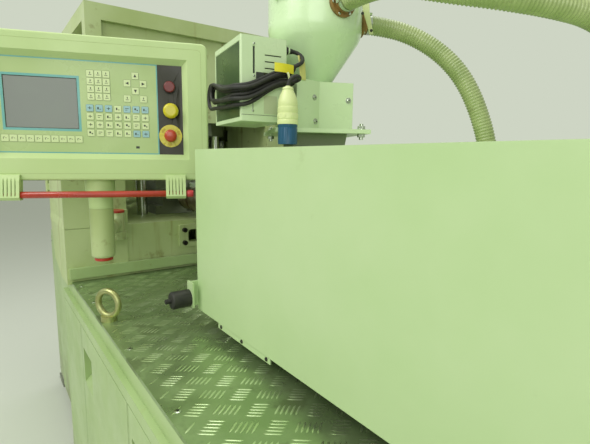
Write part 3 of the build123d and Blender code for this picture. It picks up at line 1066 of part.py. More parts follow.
def make_loader():
    flange_z = (THROAT_TOP_Z, THROAT_TOP_Z + FLANGE_THICKNESS)
    half = FLANGE_WIDTH / 2
    flange = span_box((-half, half), (-half, half), flange_z)
    flange -= post(0, 0, (flange_z[0] - 1, flange_z[1] + 1), THROAT_BORE_R)
    for x in (-FLANGE_BOLT_HALF, FLANGE_BOLT_HALF):
        for y in (-FLANGE_BOLT_HALF, FLANGE_BOLT_HALF):
            flange -= post(x, y, (flange_z[0] - 1, flange_z[1] + 1), FLANGE_BOLT_R)
    box_z = (flange_z[1], flange_z[1] + LOADER_BOX_HEIGHT)
    box_x = (-LOADER_BOX_FRONT, LOADER_BOX_FRONT)
    box_y = (LOADER_BOX_LEFT, LOADER_BOX_RIGHT)
    sheet = LOADER_SHEET
    shell = span_box(box_x, box_y, box_z)
    shell -= span_box((box_x[0] + sheet, box_x[1] - sheet), (box_y[0] + sheet, box_y[1] - sheet),
                      (box_z[0] - 1, box_z[1] - sheet))
    neck_low_z = box_z[1] - NECK_DEPTH
    shell -= post(0, 0, (box_z[1] - sheet - 1, box_z[1] + 1), NECK_R)
    # A bent sheet leads from the front face to the right side of the control box and carries it.
    lean = Pos(LOADER_BOX_FRONT, WING_START, 0) * Rot(0, 0, WING_TURN)
    wing = lean * span_box((0, sheet), (-WING_LENGTH, sheet), box_z)
    tongue = lean * span_box((0, sheet), (-WING_LENGTH - WING_REACH, 0), WING_TAB_Z)
    # The socket tube that carries the canister's neck stands on the flange.
    socket = post(0, 0, (flange_z[1], neck_low_z), NECK_R - 8) - post(0, 0, (0, 3000), NECK_R - 11)
    shelf = post(0, 0, (neck_low_z - 4, neck_low_z), NECK_R) - post(0, 0, (0, 3000), NECK_R - 11)
    control = control_place() * span_box((-60, CONTROL_WIDTH), (-60, CONTROL_DEPTH), (CONTROL_Z[0] - 30, CONTROL_Z[1]))
    tab = control_place() * span_box((CONTROL_WIDTH, CONTROL_WIDTH + sheet), WING_TAB_Y, WING_TAB_Z)
    bracket = loader_place() * (wing + tongue) - control + tab
    base = loader_place() * (flange + shell + socket + shelf) + bracket
    save("loader_base", base)

    wall = CANISTER_SHEET
    cone_z = box_z[1]
    rim_top = cone_z + NECK_RIM_HEIGHT
    # The hopper is welded from a neck with a rim, a cone with a rounded shoulder, and a drum.
    outline = ((NECK_R - wall, neck_low_z), (NECK_R, neck_low_z), (NECK_R, cone_z), (NECK_RIM_R, cone_z),
               (NECK_RIM_R, rim_top), (NECK_R - wall, rim_top))
    neck = loader_place() * revolve(make_face(Plane.XZ * Polyline(*outline, close=True)), Axis.Z)
    cone = loader_place() * (funnel(0, rim_top) - funnel(wall, rim_top))
    drum_z = (DRUM_LOW_Z, CANISTER_TOP_Z)
    drum = loader_place() * (post(0, 0, drum_z, CANISTER_R) - post(0, 0, drum_z, CANISTER_R - wall))
    ports = []
    for angle, z in ((VACUUM_PORT_HEADING, VACUUM_PORT_Z), (SUCTION_PORT_HEADING, SUCTION_PORT_Z)):
        ports.append(make_port(angle, z))
        start = heading(angle, CANISTER_R - 20, (THROAT_X, 0))
        end = heading(angle, CANISTER_R + 20, (THROAT_X, 0))
        drum -= rod((*start, z), (*end, z), PORT_STUB_R - 3)
    latch_at = Pos(THROAT_X, 0, 0) * Rot(0, 0, LATCH_HEADING)
    # Ears for the latch and for the lid's hinge are welded on the drum.
    skin = post(0, 0, (DRUM_LOW_Z, CANISTER_TOP_Z + 60), CANISTER_R)
    ears = []
    pin_x, pin_end = CANISTER_R + 5, LATCH_WIDTH / 2 + 8
    latch_pin = rod((pin_x, -pin_end, LATCH_PIN_Z), (pin_x, pin_end, LATCH_PIN_Z), LATCH_PIN_R + RUNNING_GAP)
    for y in (-LATCH_WIDTH / 2 - 5, LATCH_WIDTH / 2 + 1):
        ear = span_box((CANISTER_R - 6, CANISTER_R + 9), (y, y + 4), (LATCH_PIN_Z - 8, LATCH_PIN_Z + 8))
        ears.append(latch_at * (ear - skin - latch_pin))
    hinge = loader_place()
    hinge_z = CANISTER_TOP_Z + 2
    pin = rod((-LID_HINGE_R, -34, hinge_z), (-LID_HINGE_R, 34, hinge_z), LID_HINGE_PIN_R)
    for y in LID_EAR_YS:
        ear = span_box((-LID_HINGE_R - LID_EAR_R, -CANISTER_R + 6), y, (hinge_z - 22, hinge_z - 3)) - skin
        ear += rod((-LID_HINGE_R, y[0], hinge_z), (-LID_HINGE_R, y[1], hinge_z), LID_EAR_R)
        ears.append(hinge * (ear - pin))
    save("loader_canister", drum, cone, neck, *ears, hinge * pin)
    save("loader_ports", *ports)

    rim_z = (CANISTER_TOP_Z + SLIDE_GAP, CANISTER_TOP_Z + LID_RIM_HEIGHT)
    lid = post(0, 0, rim_z, LID_RIM_R)
    dome = fillet(post(0, 0, (rim_z[1], LID_TOP_Z), LID_R).edges().sort_by(Axis.Z)[-1], LID_ROUND)
    tongue = span_box((-LID_HINGE_R, -LID_R), (-17.5, 17.5), rim_z)
    tongue += rod((-LID_HINGE_R, -17.5, hinge_z), (-LID_HINGE_R, 17.5, hinge_z), 9)
    tongue -= post(0, 0, (CANISTER_TOP_Z - 60, CANISTER_TOP_Z + SLIDE_GAP), CANISTER_R + 1)
    lid = lid + dome + tongue
    lid -= rod((-LID_HINGE_R, -40, hinge_z), (-LID_HINGE_R, 40, hinge_z), LID_HINGE_PIN_R + RUNNING_GAP)
    save("loader_lid", hinge * lid)

    lever_x = (CANISTER_R + 5, CANISTER_R + 9)
    lever = span_box(lever_x, (-LATCH_WIDTH / 2, LATCH_WIDTH / 2), (LATCH_PIN_Z - 4, CANISTER_TOP_Z + 10))
    lever += rod((lever_x[0], -LATCH_WIDTH / 2 - 4, LATCH_PIN_Z), (lever_x[0], LATCH_WIDTH / 2 + 4, LATCH_PIN_Z),
                 LATCH_PIN_R)
    return lever, latch_at


def make_latch(lever, latch_at):
    """The lid's draw latch turns on a pin between two ears of the canister."""
    save("lid_latch", latch_at * lever)


def make_port(angle, z):
    """A bolted flange with the stub that a hose is pushed on."""
    start = heading(angle, CANISTER_R - 12, (THROAT_X, 0))
    face = heading(angle, CANISTER_R + PORT_FLANGE_THICKNESS, (THROAT_X, 0))
    end = heading(angle, CANISTER_R + PORT_REACH, (THROAT_X, 0))
    port = rod((*start, z), (*face, z), PORT_FLANGE_R)
    port -= post(THROAT_X, 0, (z - 60, z + 60), CANISTER_R)
    port += rod((*face, z), (*end, z), PORT_STUB_R)
    return port - rod((*start, z), (*heading(angle, CANISTER_R + 40, (THROAT_X, 0)), z), PORT_STUB_R - 3)


def make_control_box():
    box = span_box((0, CONTROL_WIDTH), (0, CONTROL_DEPTH), CONTROL_Z)
    box = fillet(box.edges().filter_by(Axis.Z), 3)
    margin = LABEL_MARGIN
    label_z = (CONTROL_Z[0] + margin, CONTROL_Z[1] - margin - 4)
    box -= span_box((-1, LABEL_RECESS), (margin, CONTROL_DEPTH - margin), label_z)
    for z in LOUVRE_ZS:
        box -= span_box(LOUVRE_X, (-1, LOUVRE_DEPTH), (z, z + 2.5))
    box -= span_box((28, 33), (-1, LOUVRE_DEPTH), (1588, 1646))
    box += rod((CONTROL_WIDTH, GLAND_Y, GLAND_Z), (CONTROL_WIDTH + GLAND_LENGTH, GLAND_Y, GLAND_Z), GLAND_R)
    save("control_box", control_place() * box)


def make_power_cable():
    gap, side, front = COIL_GAP, COIL_SIDE, COIL_FRONT
    inner_w, inner_d = CONTROL_WIDTH + 2 * gap, CONTROL_DEPTH + 2 * gap
    outer = Pos(0, (side - front) / 2, 0) * rounded_plate(inner_w + 2 * side, inner_d + side + front, 12, COIL_HEIGHT)
    inner = rounded_plate(inner_w, inner_d, 2, COIL_HEIGHT)
    middle = Pos(CONTROL_WIDTH / 2, CONTROL_DEPTH / 2, COIL_MIDDLE_Z) * Rot(0, COIL_TILT, 0)
    coil = middle * (Pos(0, 0, -COIL_HEIGHT / 2) * (outer - inner))
    # The tilted ring is opened to keep its gap at the two sides of the box.
    coil -= span_box((-gap, CONTROL_WIDTH + gap), (-gap, CONTROL_DEPTH + gap), (1000, 2000))
    # The loops lie folded round the front corners, with nothing behind the box.
    coil -= span_box((-gap, 2 * CONTROL_WIDTH), (COIL_RIGHT_Y, 2 * CONTROL_DEPTH), (1000, 2000))
    lead = cord_tube("power cable lead", LEAD_POINTS, CABLE_R) - coil
    tail = cord_tube("power cable tail", TAIL_POINTS, CABLE_R) - coil
    place = control_place()
    save("power_cable_coil", place * coil)
    lead_part = lead.solids().sort_by(Axis.Z)[-1]
    tail_part = tail.solids().sort_by(Axis.Z)[0]
    save("power_cable", place * lead_part, place * tail_part)

    x, y = PLUG_PLACE
    shoulder_z = PLUG_Z[1] - PLUG_SHOULDER
    cap_top = PLUG_Z[0] + PLUG_CAP_LENGTH
    outline = ((0, cap_top), (PLUG_BODY_R, cap_top), (PLUG_BODY_R - 1.5, shoulder_z), (PLUG_NECK_R, PLUG_Z[1] - 6),
               (PLUG_NECK_R, PLUG_Z[1]), (0, PLUG_Z[1]))
    body = revolve(make_face(Plane.XZ * Polyline(*outline, close=True)), Axis.Z)
    cap = post(0, 0, (PLUG_Z[0], cap_top), PLUG_CAP_R)
    cap -= post(0, 0, (PLUG_Z[0] - 1, cap_top - 6), PLUG_CAP_R - 2.5)
    for angle in (-120, 0, 120):
        pin_x, pin_y = heading(angle, 10)
        cap += post(pin_x, pin_y, (PLUG_Z[0] + 4, cap_top - 6), 2.4)
    save("plug_body", place * Pos(x, y, 0) * body)
    save("plug_cap", place * Pos(x, y, 0) * cap)


def hose_route(angle, z, first_run, rest):
    """A hose's points: straight out of its port first, and then along its way."""
    start = heading(angle, CANISTER_R + PORT_REACH, (THROAT_X, 0))
    second = heading(angle, CANISTER_R + PORT_REACH + first_run, (THROAT_X, 0))
    return ((*start, z), (*second, z), *rest)


def hose_end(points, length):
    """An open sleeve on a hose's free end."""
    end = Vector(*points[-1])
    along = (end - Vector(*points[-2])).normalized()
    sleeve = rod(tuple(end), tuple(end + along * length), HOSE_END_R)
    return sleeve - rod(tuple(end + along * 10), tuple(end + along * (length + 1)), HOSE_R - 4)


def make_hoses():
    suction = hose_route(SUCTION_PORT_HEADING, SUCTION_PORT_Z, SUCTION_FIRST_RUN, SUCTION_ROUTE)
    vacuum = hose_route(VACUUM_PORT_HEADING, VACUUM_PORT_Z, VACUUM_FIRST_RUN, VACUUM_ROUTE)
    save("suction_hose", cord_tube("suction hose", suction, HOSE_R))
    save("vacuum_hose", cord_tube("vacuum hose", vacuum, HOSE_R))
    save("hose_ends", hose_end(suction, LANCE_LENGTH), hose_end(vacuum, CUFF_LENGTH))


def console_place():
    """The console's frame: +X along its width, +Y up, +Z out of its face."""
    turn = radians(CONSOLE_TURN)
    normal = (cos(turn), sin(turn), 0)
    width = (-sin(turn), cos(turn), 0)
    return Plane(origin=(*CONSOLE_AXIS, CONSOLE_Z), x_dir=width, z_dir=normal).location


def key_pad(x, y):
    return Pos(x, y, PANEL_FRONT) * Box(KEY_SIZE, KEY_SIZE, KEY_RISE, align=(Align.CENTER, Align.CENTER, Align.MIN))


def key_places():
    """The middles of all keys on the membrane."""
    places = [(FKEY_START[0] + index * FKEY_PITCH, FKEY_START[1]) for index in range(FKEY_COUNT)]
    places += [(NUMBER_START[0] + column * NUMBER_PITCH, NUMBER_START[1] - row * NUMBER_PITCH)
               for row in range(4) for column in range(3)]
    places += [(FUNCTION_START[0] + column * FUNCTION_PITCH[0], FUNCTION_START[1] + row * FUNCTION_PITCH[1])
               for row in range(4) for column in range(7)]
    return places + list(ARROW_KEYS)


def button_bores():
    """Clearance bores for the three button stems, through the strip and into the housing."""
    radius = BUTTON_STEM_R + BUTTON_CLEARANCE
    low = CONSOLE_FRONT - BUTTON_BORE_DEPTH
    return [post(x, y, (low, PANEL_FRONT + 3), radius) for x, y in (RED_BUTTON, YELLOW_BUTTON, ESTOP)]


def make_console():
    place = console_place()
    housing = Pos(0, 0, CONSOLE_BACK) * rounded_plate(CONSOLE_WIDTH, CONSOLE_HEIGHT, CONSOLE_CORNER_R,
                                                      CONSOLE_FRONT - CONSOLE_BACK)
    housing = fillet(housing.faces().sort_by(Axis.Z)[0].edges(), 8)
    for bore in button_bores():
        housing -= bore
    low_y = -CONSOLE_HEIGHT / 2
    collar = rod((0, SWIVEL_COLLAR_Z - CONSOLE_Z, 0), (0, low_y, 0), SWIVEL_COLLAR_R)
    tube = rod((0, SWIVEL_SEAM_Z - CONSOLE_Z, 0), (0, SWIVEL_COLLAR_Z - CONSOLE_Z, 0), SWIVEL_R)
    tube += rod((0, SWIVEL_SEAM_Z - SWIVEL_PIN_LENGTH - CONSOLE_Z, 0), (0, SWIVEL_SEAM_Z - CONSOLE_Z, 0), SWIVEL_PIN_R)
    clamps = [bar_clamp(x) for x in (-BAR_CLAMP_X, BAR_CLAMP_X)]
    save("console_housing", place * housing, place * (collar + tube), *[place * clamp for clamp in clamps])

    depth = BEZEL_FRONT - CONSOLE_FRONT
    bezel = Pos(0, 0, CONSOLE_FRONT) * rounded_plate(CONSOLE_WIDTH, CONSOLE_HEIGHT, CONSOLE_CORNER_R, depth)
    bezel = fillet(bezel.faces().sort_by(Axis.Z)[-1].outer_wire().edges(), 5)
    window_at = Pos(sum(WINDOW_X) / 2, sum(WINDOW_Y) / 2, 0)
    width, height = WINDOW_X[1] - WINDOW_X[0], WINDOW_Y[1] - WINDOW_Y[0]
    bezel -= window_at * Pos(0, 0, CONSOLE_FRONT) * extrude(Rectangle(width, height), depth)
    low = (window_at * Pos(0, 0, PANEL_FRONT) * Rectangle(width, height)).face()
    wide = Rectangle(width + 2 * WINDOW_SLOPE, height + 2 * WINDOW_SLOPE)
    high = (window_at * Pos(0, 0, BEZEL_FRONT) * wide).face()
    bezel -= loft(Sketch() + [low, high])
    save("console_bezel", place * bezel)

    panel_z = (CONSOLE_FRONT, PANEL_FRONT)
    membrane = span_box((WINDOW_X[0], STRIP_X), WINDOW_Y, panel_z)
    membrane -= span_box(SCREEN_X, SCREEN_Y, (PANEL_FRONT - SCREEN_DEPTH - 4, PANEL_FRONT + 1))
    for x, y in key_places():
        membrane += key_pad(x, y)
    save("console_membrane", place * membrane)
    screen_z = (PANEL_FRONT - SCREEN_DEPTH - 4, PANEL_FRONT - SCREEN_DEPTH)
    save("console_screen", place * span_box(SCREEN_X, SCREEN_Y, screen_z))
    strip = span_box((STRIP_X, WINDOW_X[1]), WINDOW_Y, panel_z)
    for bore in button_bores():
        strip -= bore
    save("switch_strip", place * strip)
    make_buttons(place)
    bar = rod((-BAR_HALF_LENGTH, BAR_Y, BAR_FRONT), (BAR_HALF_LENGTH, BAR_Y, BAR_FRONT), BAR_R)
    save("handle_bar", place * chamfer(bar.edges().sort_by(Axis.X)[0::len(bar.edges()) - 1], 1.5))


def bar_clamp(x):
    """A ribbed clamp from the bezel's lower edge down round the handle bar."""
    edge = -CONSOLE_HEIGHT / 2
    side = Plane(origin=(x - BAR_CLAMP_WIDTH / 2, 0, 0), x_dir=(0, 1, 0), z_dir=(1, 0, 0))
    outline = ((edge + 14, BEZEL_FRONT), (edge + 14, BEZEL_FRONT + 10), (edge, BEZEL_FRONT + 16),
               (BAR_Y - 6, BAR_FRONT + BAR_R + 5), (BAR_Y - 13, BAR_FRONT + 5), (BAR_Y - 13, BAR_FRONT - 14),
               (edge, BEZEL_FRONT - 12), (edge, BEZEL_FRONT))
    clamp = prism(outline, side, BAR_CLAMP_WIDTH)
    for index in range(5):
        groove_x = x - BAR_CLAMP_WIDTH / 2 + 8 + index * 8.5
        groove = span_box((groove_x, groove_x + 2), (BAR_Y - 2, edge + 10), (BEZEL_FRONT + 13.5, BEZEL_FRONT + 40))
        clamp -= groove
    return clamp - rod((x - 40, BAR_Y, BAR_FRONT), (x + 40, BAR_Y, BAR_FRONT), BAR_R)


def make_buttons(place):
    x, y = ESTOP
    disc_z = (PANEL_FRONT, PANEL_FRONT + ESTOP_DISC_THICKNESS)
    disc = post(x, y, disc_z, ESTOP_DISC_R) - post(x, y, (0, 100), BUTTON_STEM_R + BUTTON_CLEARANCE)
    save("estop_ring", place * disc)
    head_z = (PANEL_FRONT + 8, PANEL_FRONT + 24)
    head = fillet(post(x, y, head_z, ESTOP_HEAD_R).edges().sort_by(Axis.Z)[-1], 5)
    save("estop_head", place * (head + post(x, y, (STEM_BOTTOM, head_z[0]), BUTTON_STEM_R)))
    x, y = YELLOW_BUTTON
    cap_z = (PANEL_FRONT + 6, PANEL_FRONT + 18)
    cap = fillet(post(x, y, cap_z, YELLOW_R).edges().sort_by(Axis.Z)[-1], 8)
    save("yellow_button", place * (cap + post(x, y, (STEM_BOTTOM, cap_z[0]), BUTTON_STEM_R)))
    x, y = RED_BUTTON
    cap_z = (PANEL_FRONT + 4, PANEL_FRONT + 12)
    cap = fillet(post(x, y, cap_z, RED_R).edges().sort_by(Axis.Z)[-1], 3)
    save("red_button", place * (cap + post(x, y, (STEM_BOTTOM, cap_z[0]), BUTTON_STEM_R)))


def make_arm():
    ax, ay = CONSOLE_AXIS
    kx, ky = ARM_AXIS
    sleeve = post(ax, ay, (SLEEVE_BOTTOM_Z, SWIVEL_SEAM_Z - SLIDE_GAP), SWIVEL_R)
    sleeve = fillet(sleeve.edges().sort_by(Axis.Z)[0], 9)
    tube = rod((kx, ky, ARM_Z), (ax, ay, ARM_Z), ARM_TUBE_R)
    knuckle = post(kx, ky, KNUCKLE_Z, KNUCKLE_R)
    link = sleeve + tube + knuckle
    pin_z = (SWIVEL_SEAM_Z - SWIVEL_PIN_LENGTH - 2, SWIVEL_SEAM_Z + 1)
    link -= post(ax, ay, pin_z, SWIVEL_PIN_R + RUNNING_GAP)
    bore_z = (KNUCKLE_Z[0] - 40, KNUCKLE_Z[1] - 6)
    link -= post(kx, ky, bore_z, ARM_PIN_R + RUNNING_GAP)
    save("arm_link", link)
    ring = post(ax, ay, (SLEEVE_BOTTOM_Z - RING_HEIGHT, SLEEVE_BOTTOM_Z), RING_R)
    ring = fillet(ring.edges().sort_by(Axis.Z)[0], 3)
    cap = fillet(post(kx, ky, (KNUCKLE_Z[1], KNUCKLE_Z[1] + RING_HEIGHT), KNUCKLE_R).edges().sort_by(Axis.Z)[-1], 3)
    save("arm_caps", ring, cap)

    width, height, thick = BRACKET_PLATE
    low = KNUCKLE_Z[0] - SLIDE_GAP
    plate_z = (low - BRACKET_LUG_HEIGHT, low - BRACKET_LUG_HEIGHT + height)
    plate_y = (ky - width / 2, ky + width / 2 - 2)
    bracket = span_box((HOUSING_FACE_X, HOUSING_FACE_X + thick), plate_y, plate_z)
    # The plate is hollowed where the knuckle turns beside it.
    bracket -= post(kx, ky, (low, plate_z[1] + 1), KNUCKLE_R + 2)
    bracket += post(kx, ky, (low - BRACKET_LUG_HEIGHT, low), KNUCKLE_R + 4)
    bracket += span_box((HOUSING_FACE_X, kx), (ky - 26, ky + 26), (low - BRACKET_LUG_HEIGHT, low))
    bracket -= span_box((HOUSING_FACE_X - 40, HOUSING_FACE_X), (ky - 100, ky + 100), (0, 3000))
    bracket += post(kx, ky, (low, KNUCKLE_Z[1] - 8), ARM_PIN_R)
    save("arm_bracket", bracket)


def make_hydraulics():
    """The oil tank with its pump and motor, on the bottom rails inside the base."""
    floor = FRAME_BOTTOM_Z + FRAME_RAIL_HEIGHT
    tank_y = (-BASE_HALF_WIDTH + FRAME_TUBE / 3, BASE_HALF_WIDTH - FRAME_TUBE / 3)
    tank_z = (floor, floor + 320)
    tank = span_box((560.0, 970.0), (tank_y[0] + 20, tank_y[1] - 20), tank_z)
    tank = fillet(tank.edges().filter_by(Axis.Z), 12)
    motor_z = tank_z[1] + 120
    motor = rod((600.0, -60.0, motor_z), (860.0, -60.0, motor_z), 95.0)
    motor += span_box((640.0, 820.0), (-120.0, 0.0), (tank_z[1], motor_z))
    motor += rod((860.0, -60.0, motor_z), (950.0, -60.0, motor_z), 55.0)
    save("pump_unit", tank, motor)


def main():
    os.makedirs("parts", exist_ok=True)
    make_base()
    make_panels()
    make_front_doors()
    make_deck()
    make_clamp_body()
    make_guard()
    make_clamp_door()
    make_lower_tooling()
    make_stripper()
    make_clamp_press()
    make_turret()
    make_rails()
    make_injection_unit()
    make_cover()
    make_latch(*make_loader())
    make_control_box()
    make_power_cable()
    make_hoses()
    make_console()
    make_arm()
    make_hydraulics()


main()
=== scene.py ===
import bpy
import math
import random
from mathutils import Matrix, Vector


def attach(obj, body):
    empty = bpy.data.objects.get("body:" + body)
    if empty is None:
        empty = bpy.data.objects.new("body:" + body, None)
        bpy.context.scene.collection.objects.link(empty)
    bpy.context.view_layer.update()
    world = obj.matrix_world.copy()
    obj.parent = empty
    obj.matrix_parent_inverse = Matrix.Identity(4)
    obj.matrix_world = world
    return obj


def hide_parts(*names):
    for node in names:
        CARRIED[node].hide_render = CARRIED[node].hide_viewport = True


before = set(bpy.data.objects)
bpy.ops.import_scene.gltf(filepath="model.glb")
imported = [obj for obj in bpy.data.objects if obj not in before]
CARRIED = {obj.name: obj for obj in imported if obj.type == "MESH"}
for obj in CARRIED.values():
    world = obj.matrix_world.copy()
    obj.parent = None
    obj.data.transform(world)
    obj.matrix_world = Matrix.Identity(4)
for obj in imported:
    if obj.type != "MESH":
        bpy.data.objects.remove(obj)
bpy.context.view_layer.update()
SCALE = 0.001

# Places of the assemblies, in millimetres: origin and axes
CONSOLE_TURN = math.radians(-20.4)
CONSOLE_ORIGIN = (104.0, -446.0, 1524.0)
CONTROL_TURN = math.radians(81.0)
CONTROL_ORIGIN = (522.0, -238.0, 0.0)
LOADER_TURN = math.radians(-25.0)
THROAT_X = 474.0
DECK_Z = 980.0
CONTROL_WIDTH = 110.0
GLAND = (110.0, 16.0, 1648.0)
PLUG_AXIS = (88.0, -52.0)


def standing(origin, turn):
    """A place whose Z points up, turned about it."""
    return Matrix.Translation(origin) @ Matrix.Rotation(turn, 4, "Z")


def facing(origin, turn):
    """A place whose Z points out of an upright face, with X along the face and Y up."""
    across = Vector((-math.sin(turn), math.cos(turn), 0.0))
    out = Vector((math.cos(turn), math.sin(turn), 0.0))
    columns = (across, Vector((0.0, 0.0, 1.0)), out)
    turned = Matrix([[column[row] for column in columns] for row in range(3)]).to_4x4()
    return Matrix.Translation(origin) @ turned


CONSOLE = facing(CONSOLE_ORIGIN, CONSOLE_TURN)
CONTROL = standing(CONTROL_ORIGIN, CONTROL_TURN)
LOADER = standing((THROAT_X, 0.0, 0.0), LOADER_TURN)
WING = LOADER @ standing((72.0, -6.0, 0.0), math.radians(35.0))
WORLD = Matrix()


# Materials

def colour(red, green, blue):
    """A colour as it looks on a screen, each part from 0 to 255."""
    def linear(part):
        part = part / 255
        return part / 12.92 if part <= 0.04045 else ((part + 0.055) / 1.055) ** 2.4
    return (linear(red), linear(green), linear(blue), 1.0)


def add(tree, kind, settings=None, inputs=None):
    """One node with its settings and the values of its inputs."""
    node = tree.nodes.new(kind)
    for key, value in (settings or {}).items():
        setattr(node, key, value)
    for key, value in (inputs or {}).items():
        node.inputs[key].default_value = value
    return node


def noise(tree, vector, scale, detail, low, high):
    """A noise over the surface, stretched between two levels to 0 and 1."""
    cloud = add(tree, "ShaderNodeTexNoise", None, {"Scale": scale, "Detail": detail, "Roughness": 0.6})
    tree.links.new(vector, cloud.inputs["Vector"])
    spread = add(tree, "ShaderNodeMapRange", {"interpolation_type": "SMOOTHSTEP"},
                 {"From Min": low, "From Max": high})
    tree.links.new(cloud.outputs["Fac"], spread.inputs["Value"])
    return spread.outputs["Result"]


def mixed(tree, share, first, second):
    """Two colours mixed by a share. Each is a colour or a node's output."""
    mix = add(tree, "ShaderNodeMix", {"data_type": "RGBA"})
    tree.links.new(share, mix.inputs[0])
    for place, value in ((6, first), (7, second)):
        if isinstance(value, tuple):
            mix.inputs[place].default_value = value
        else:
            tree.links.new(value, mix.inputs[place])
    return mix.outputs[2]


def scaled(tree, value, factor):
    times = add(tree, "ShaderNodeMath", {"operation": "MULTIPLY"}, {1: factor})
    tree.links.new(value, times.inputs[0])
    return times.outputs[0]


def surface(name, base, roughness, metallic=0.0, drift=None, drift_scale=2.5, stain=None, stain_scale=16.0,
            stain_level=0.58, stain_share=0.7, streak=None, streak_share=0.5, low=None, grain=0.1,
            grain_scale=900.0, depth=0.0002, edge=0.0, coat=0.0, rough_drift=0.1, stretch=None):
    """A finish with slow colour drift, stains, running streaks, grain and softened edges.

    Its colours are given as they look on a screen, each part from 0 to 255.
    """
    base = colour(*base)
    drift, stain, streak = (shade and colour(*shade) for shade in (drift, stain, streak))
    material = bpy.data.materials.new(name)
    material.use_nodes = True
    tree = material.node_tree
    shader = tree.nodes["Principled BSDF"]
    shader.inputs["Base Color"].default_value = base
    shader.inputs["Metallic"].default_value = metallic
    shader.inputs["Roughness"].default_value = roughness
    if coat:
        shader.inputs["Coat Weight"].default_value = coat
        shader.inputs["Coat Roughness"].default_value = 0.15
    where = add(tree, "ShaderNodeTexCoord").outputs["Object"]
    if stretch:
        shaping = add(tree, "ShaderNodeMapping", None, {"Scale": stretch})
        tree.links.new(where, shaping.inputs["Vector"])
        grain_at = shaping.outputs["Vector"]
    else:
        grain_at = where
    tint = base
    if drift:
        tint = mixed(tree, noise(tree, where, drift_scale, 4.0, 0.32, 0.68), tint, drift)
    if stain:
        share = noise(tree, where, stain_scale, 8.0, stain_level, stain_level + 0.12)
        tint = mixed(tree, scaled(tree, share, stain_share), tint, stain)
    if streak:
        runs = add(tree, "ShaderNodeMapping", None, {"Scale": (1.0, 1.0, 0.06)})
        tree.links.new(where, runs.inputs["Vector"])
        share = noise(tree, runs.outputs["Vector"], 22.0, 5.0, 0.56, 0.74)
        tint = mixed(tree, scaled(tree, share, streak_share), tint, streak)
    if low:
        # Darker towards the bottom, in noise patches.
        floor_z, top_z, bottom_tone = low
        parts = add(tree, "ShaderNodeSeparateXYZ")
        tree.links.new(where, parts.inputs["Vector"])
        fade = add(tree, "ShaderNodeMapRange", {"interpolation_type": "SMOOTHSTEP"},
                   {"From Min": floor_z, "From Max": top_z, "To Min": 1.0, "To Max": 0.0})
        tree.links.new(parts.outputs["Z"], fade.inputs["Value"])
        patch = noise(tree, where, 7.0, 6.0, 0.3, 0.8)
        both = add(tree, "ShaderNodeMath", {"operation": "MULTIPLY"})
        tree.links.new(fade.outputs["Result"], both.inputs[0])
        tree.links.new(patch, both.inputs[1])
        tint = mixed(tree, both.outputs[0], tint, colour(*bottom_tone))
    if tint is not base:
        tree.links.new(tint, shader.inputs["Base Color"])
    if rough_drift:
        cloud = noise(tree, where, 9.0, 5.0, 0.3, 0.7)
        limits = {"To Min": max(0.02, roughness - rough_drift), "To Max": min(1.0, roughness + rough_drift)}
        spread = add(tree, "ShaderNodeMapRange", None, limits)
        tree.links.new(cloud, spread.inputs["Value"])
        tree.links.new(spread.outputs["Result"], shader.inputs["Roughness"])
    bump = add(tree, "ShaderNodeBump", None, {"Strength": grain, "Distance": depth})
    cloud = add(tree, "ShaderNodeTexNoise", None, {"Scale": grain_scale, "Detail": 3.0})
    tree.links.new(grain_at, cloud.inputs["Vector"])
    tree.links.new(cloud.outputs["Fac"], bump.inputs["Height"])
    if edge:
        soft = add(tree, "ShaderNodeBevel", {"samples": 4}, {"Radius": edge})
        tree.links.new(soft.outputs["Normal"], bump.inputs["Normal"])
    tree.links.new(bump.outputs["Normal"], shader.inputs["Normal"])
    return material


OIL = (120, 112, 62)
COVER_PAINT = surface("cover_paint", (186, 208, 158), 0.42, drift=(178, 204, 148), grain=0.12,
                      edge=0.0012, stain=(158, 178, 120), stain_level=0.66, stain_share=0.35)
# The base's paint grows darker towards the bottom, in noise patches.
BASE_PAINT = surface("base_paint", (168, 190, 134), 0.4, drift=(156, 180, 120), grain=0.12,
                     edge=0.0015, stain=OIL, stain_level=0.66, stain_share=0.45, streak=(158, 168, 112),
                     streak_share=0.35, low=(0.05, 0.5, (118, 118, 78)))
CLAMP_PAINT = surface("clamp_paint", (186, 200, 148), 0.42, drift=(168, 184, 122), grain=0.12,
                      edge=0.0015, stain=OIL, stain_level=0.6, stain_share=0.6, streak=(138, 132, 74),
                      streak_share=0.6)
CONSOLE_PLASTIC = surface("console_plastic", (192, 212, 152), 0.5, drift=(184, 206, 142), grain=0.25,
                          grain_scale=1500.0, edge=0.001)
LOADER_PAINT = surface("loader_paint", (206, 226, 184), 0.34, drift=(196, 219, 170), grain=0.1,
                       edge=0.0012, coat=0.25)
CANISTER_PAINT = surface("canister_paint", (210, 232, 190), 0.26, drift=(200, 226, 178), grain=0.08,
                         coat=0.5)
LID_PLASTIC = surface("lid_plastic", (188, 196, 160), 0.3, drift=(176, 186, 148), grain=0.1, coat=0.3)
DECK_STEEL = surface("deck_steel", (152, 174, 124), 0.4, metallic=0.7, drift=(134, 158, 108),
                     drift_scale=4.0, stain=(78, 88, 50), stain_scale=9.0, stain_level=0.55, stain_share=0.55,
                     grain=0.3, grain_scale=420.0, rough_drift=0.16)
TREAD_STEEL = surface("tread_steel", (210, 226, 186), 0.3, metallic=0.85, drift=(178, 198, 148),
                      drift_scale=7.0, stain=(92, 100, 60), stain_scale=11.0, grain=0.2, rough_drift=0.14)
BARE_STEEL = surface("bare_steel", (150, 154, 140), 0.34, metallic=0.9, drift=(124, 128, 110),
                     grain=0.25, grain_scale=600.0, stain=(70, 66, 42), stain_level=0.62, edge=0.0008)
GROUND_STEEL = surface("ground_steel", (206, 208, 204), 0.16, metallic=1.0, grain=0.06,
                       stretch=(1.0, 1.0, 12.0), rough_drift=0.05)
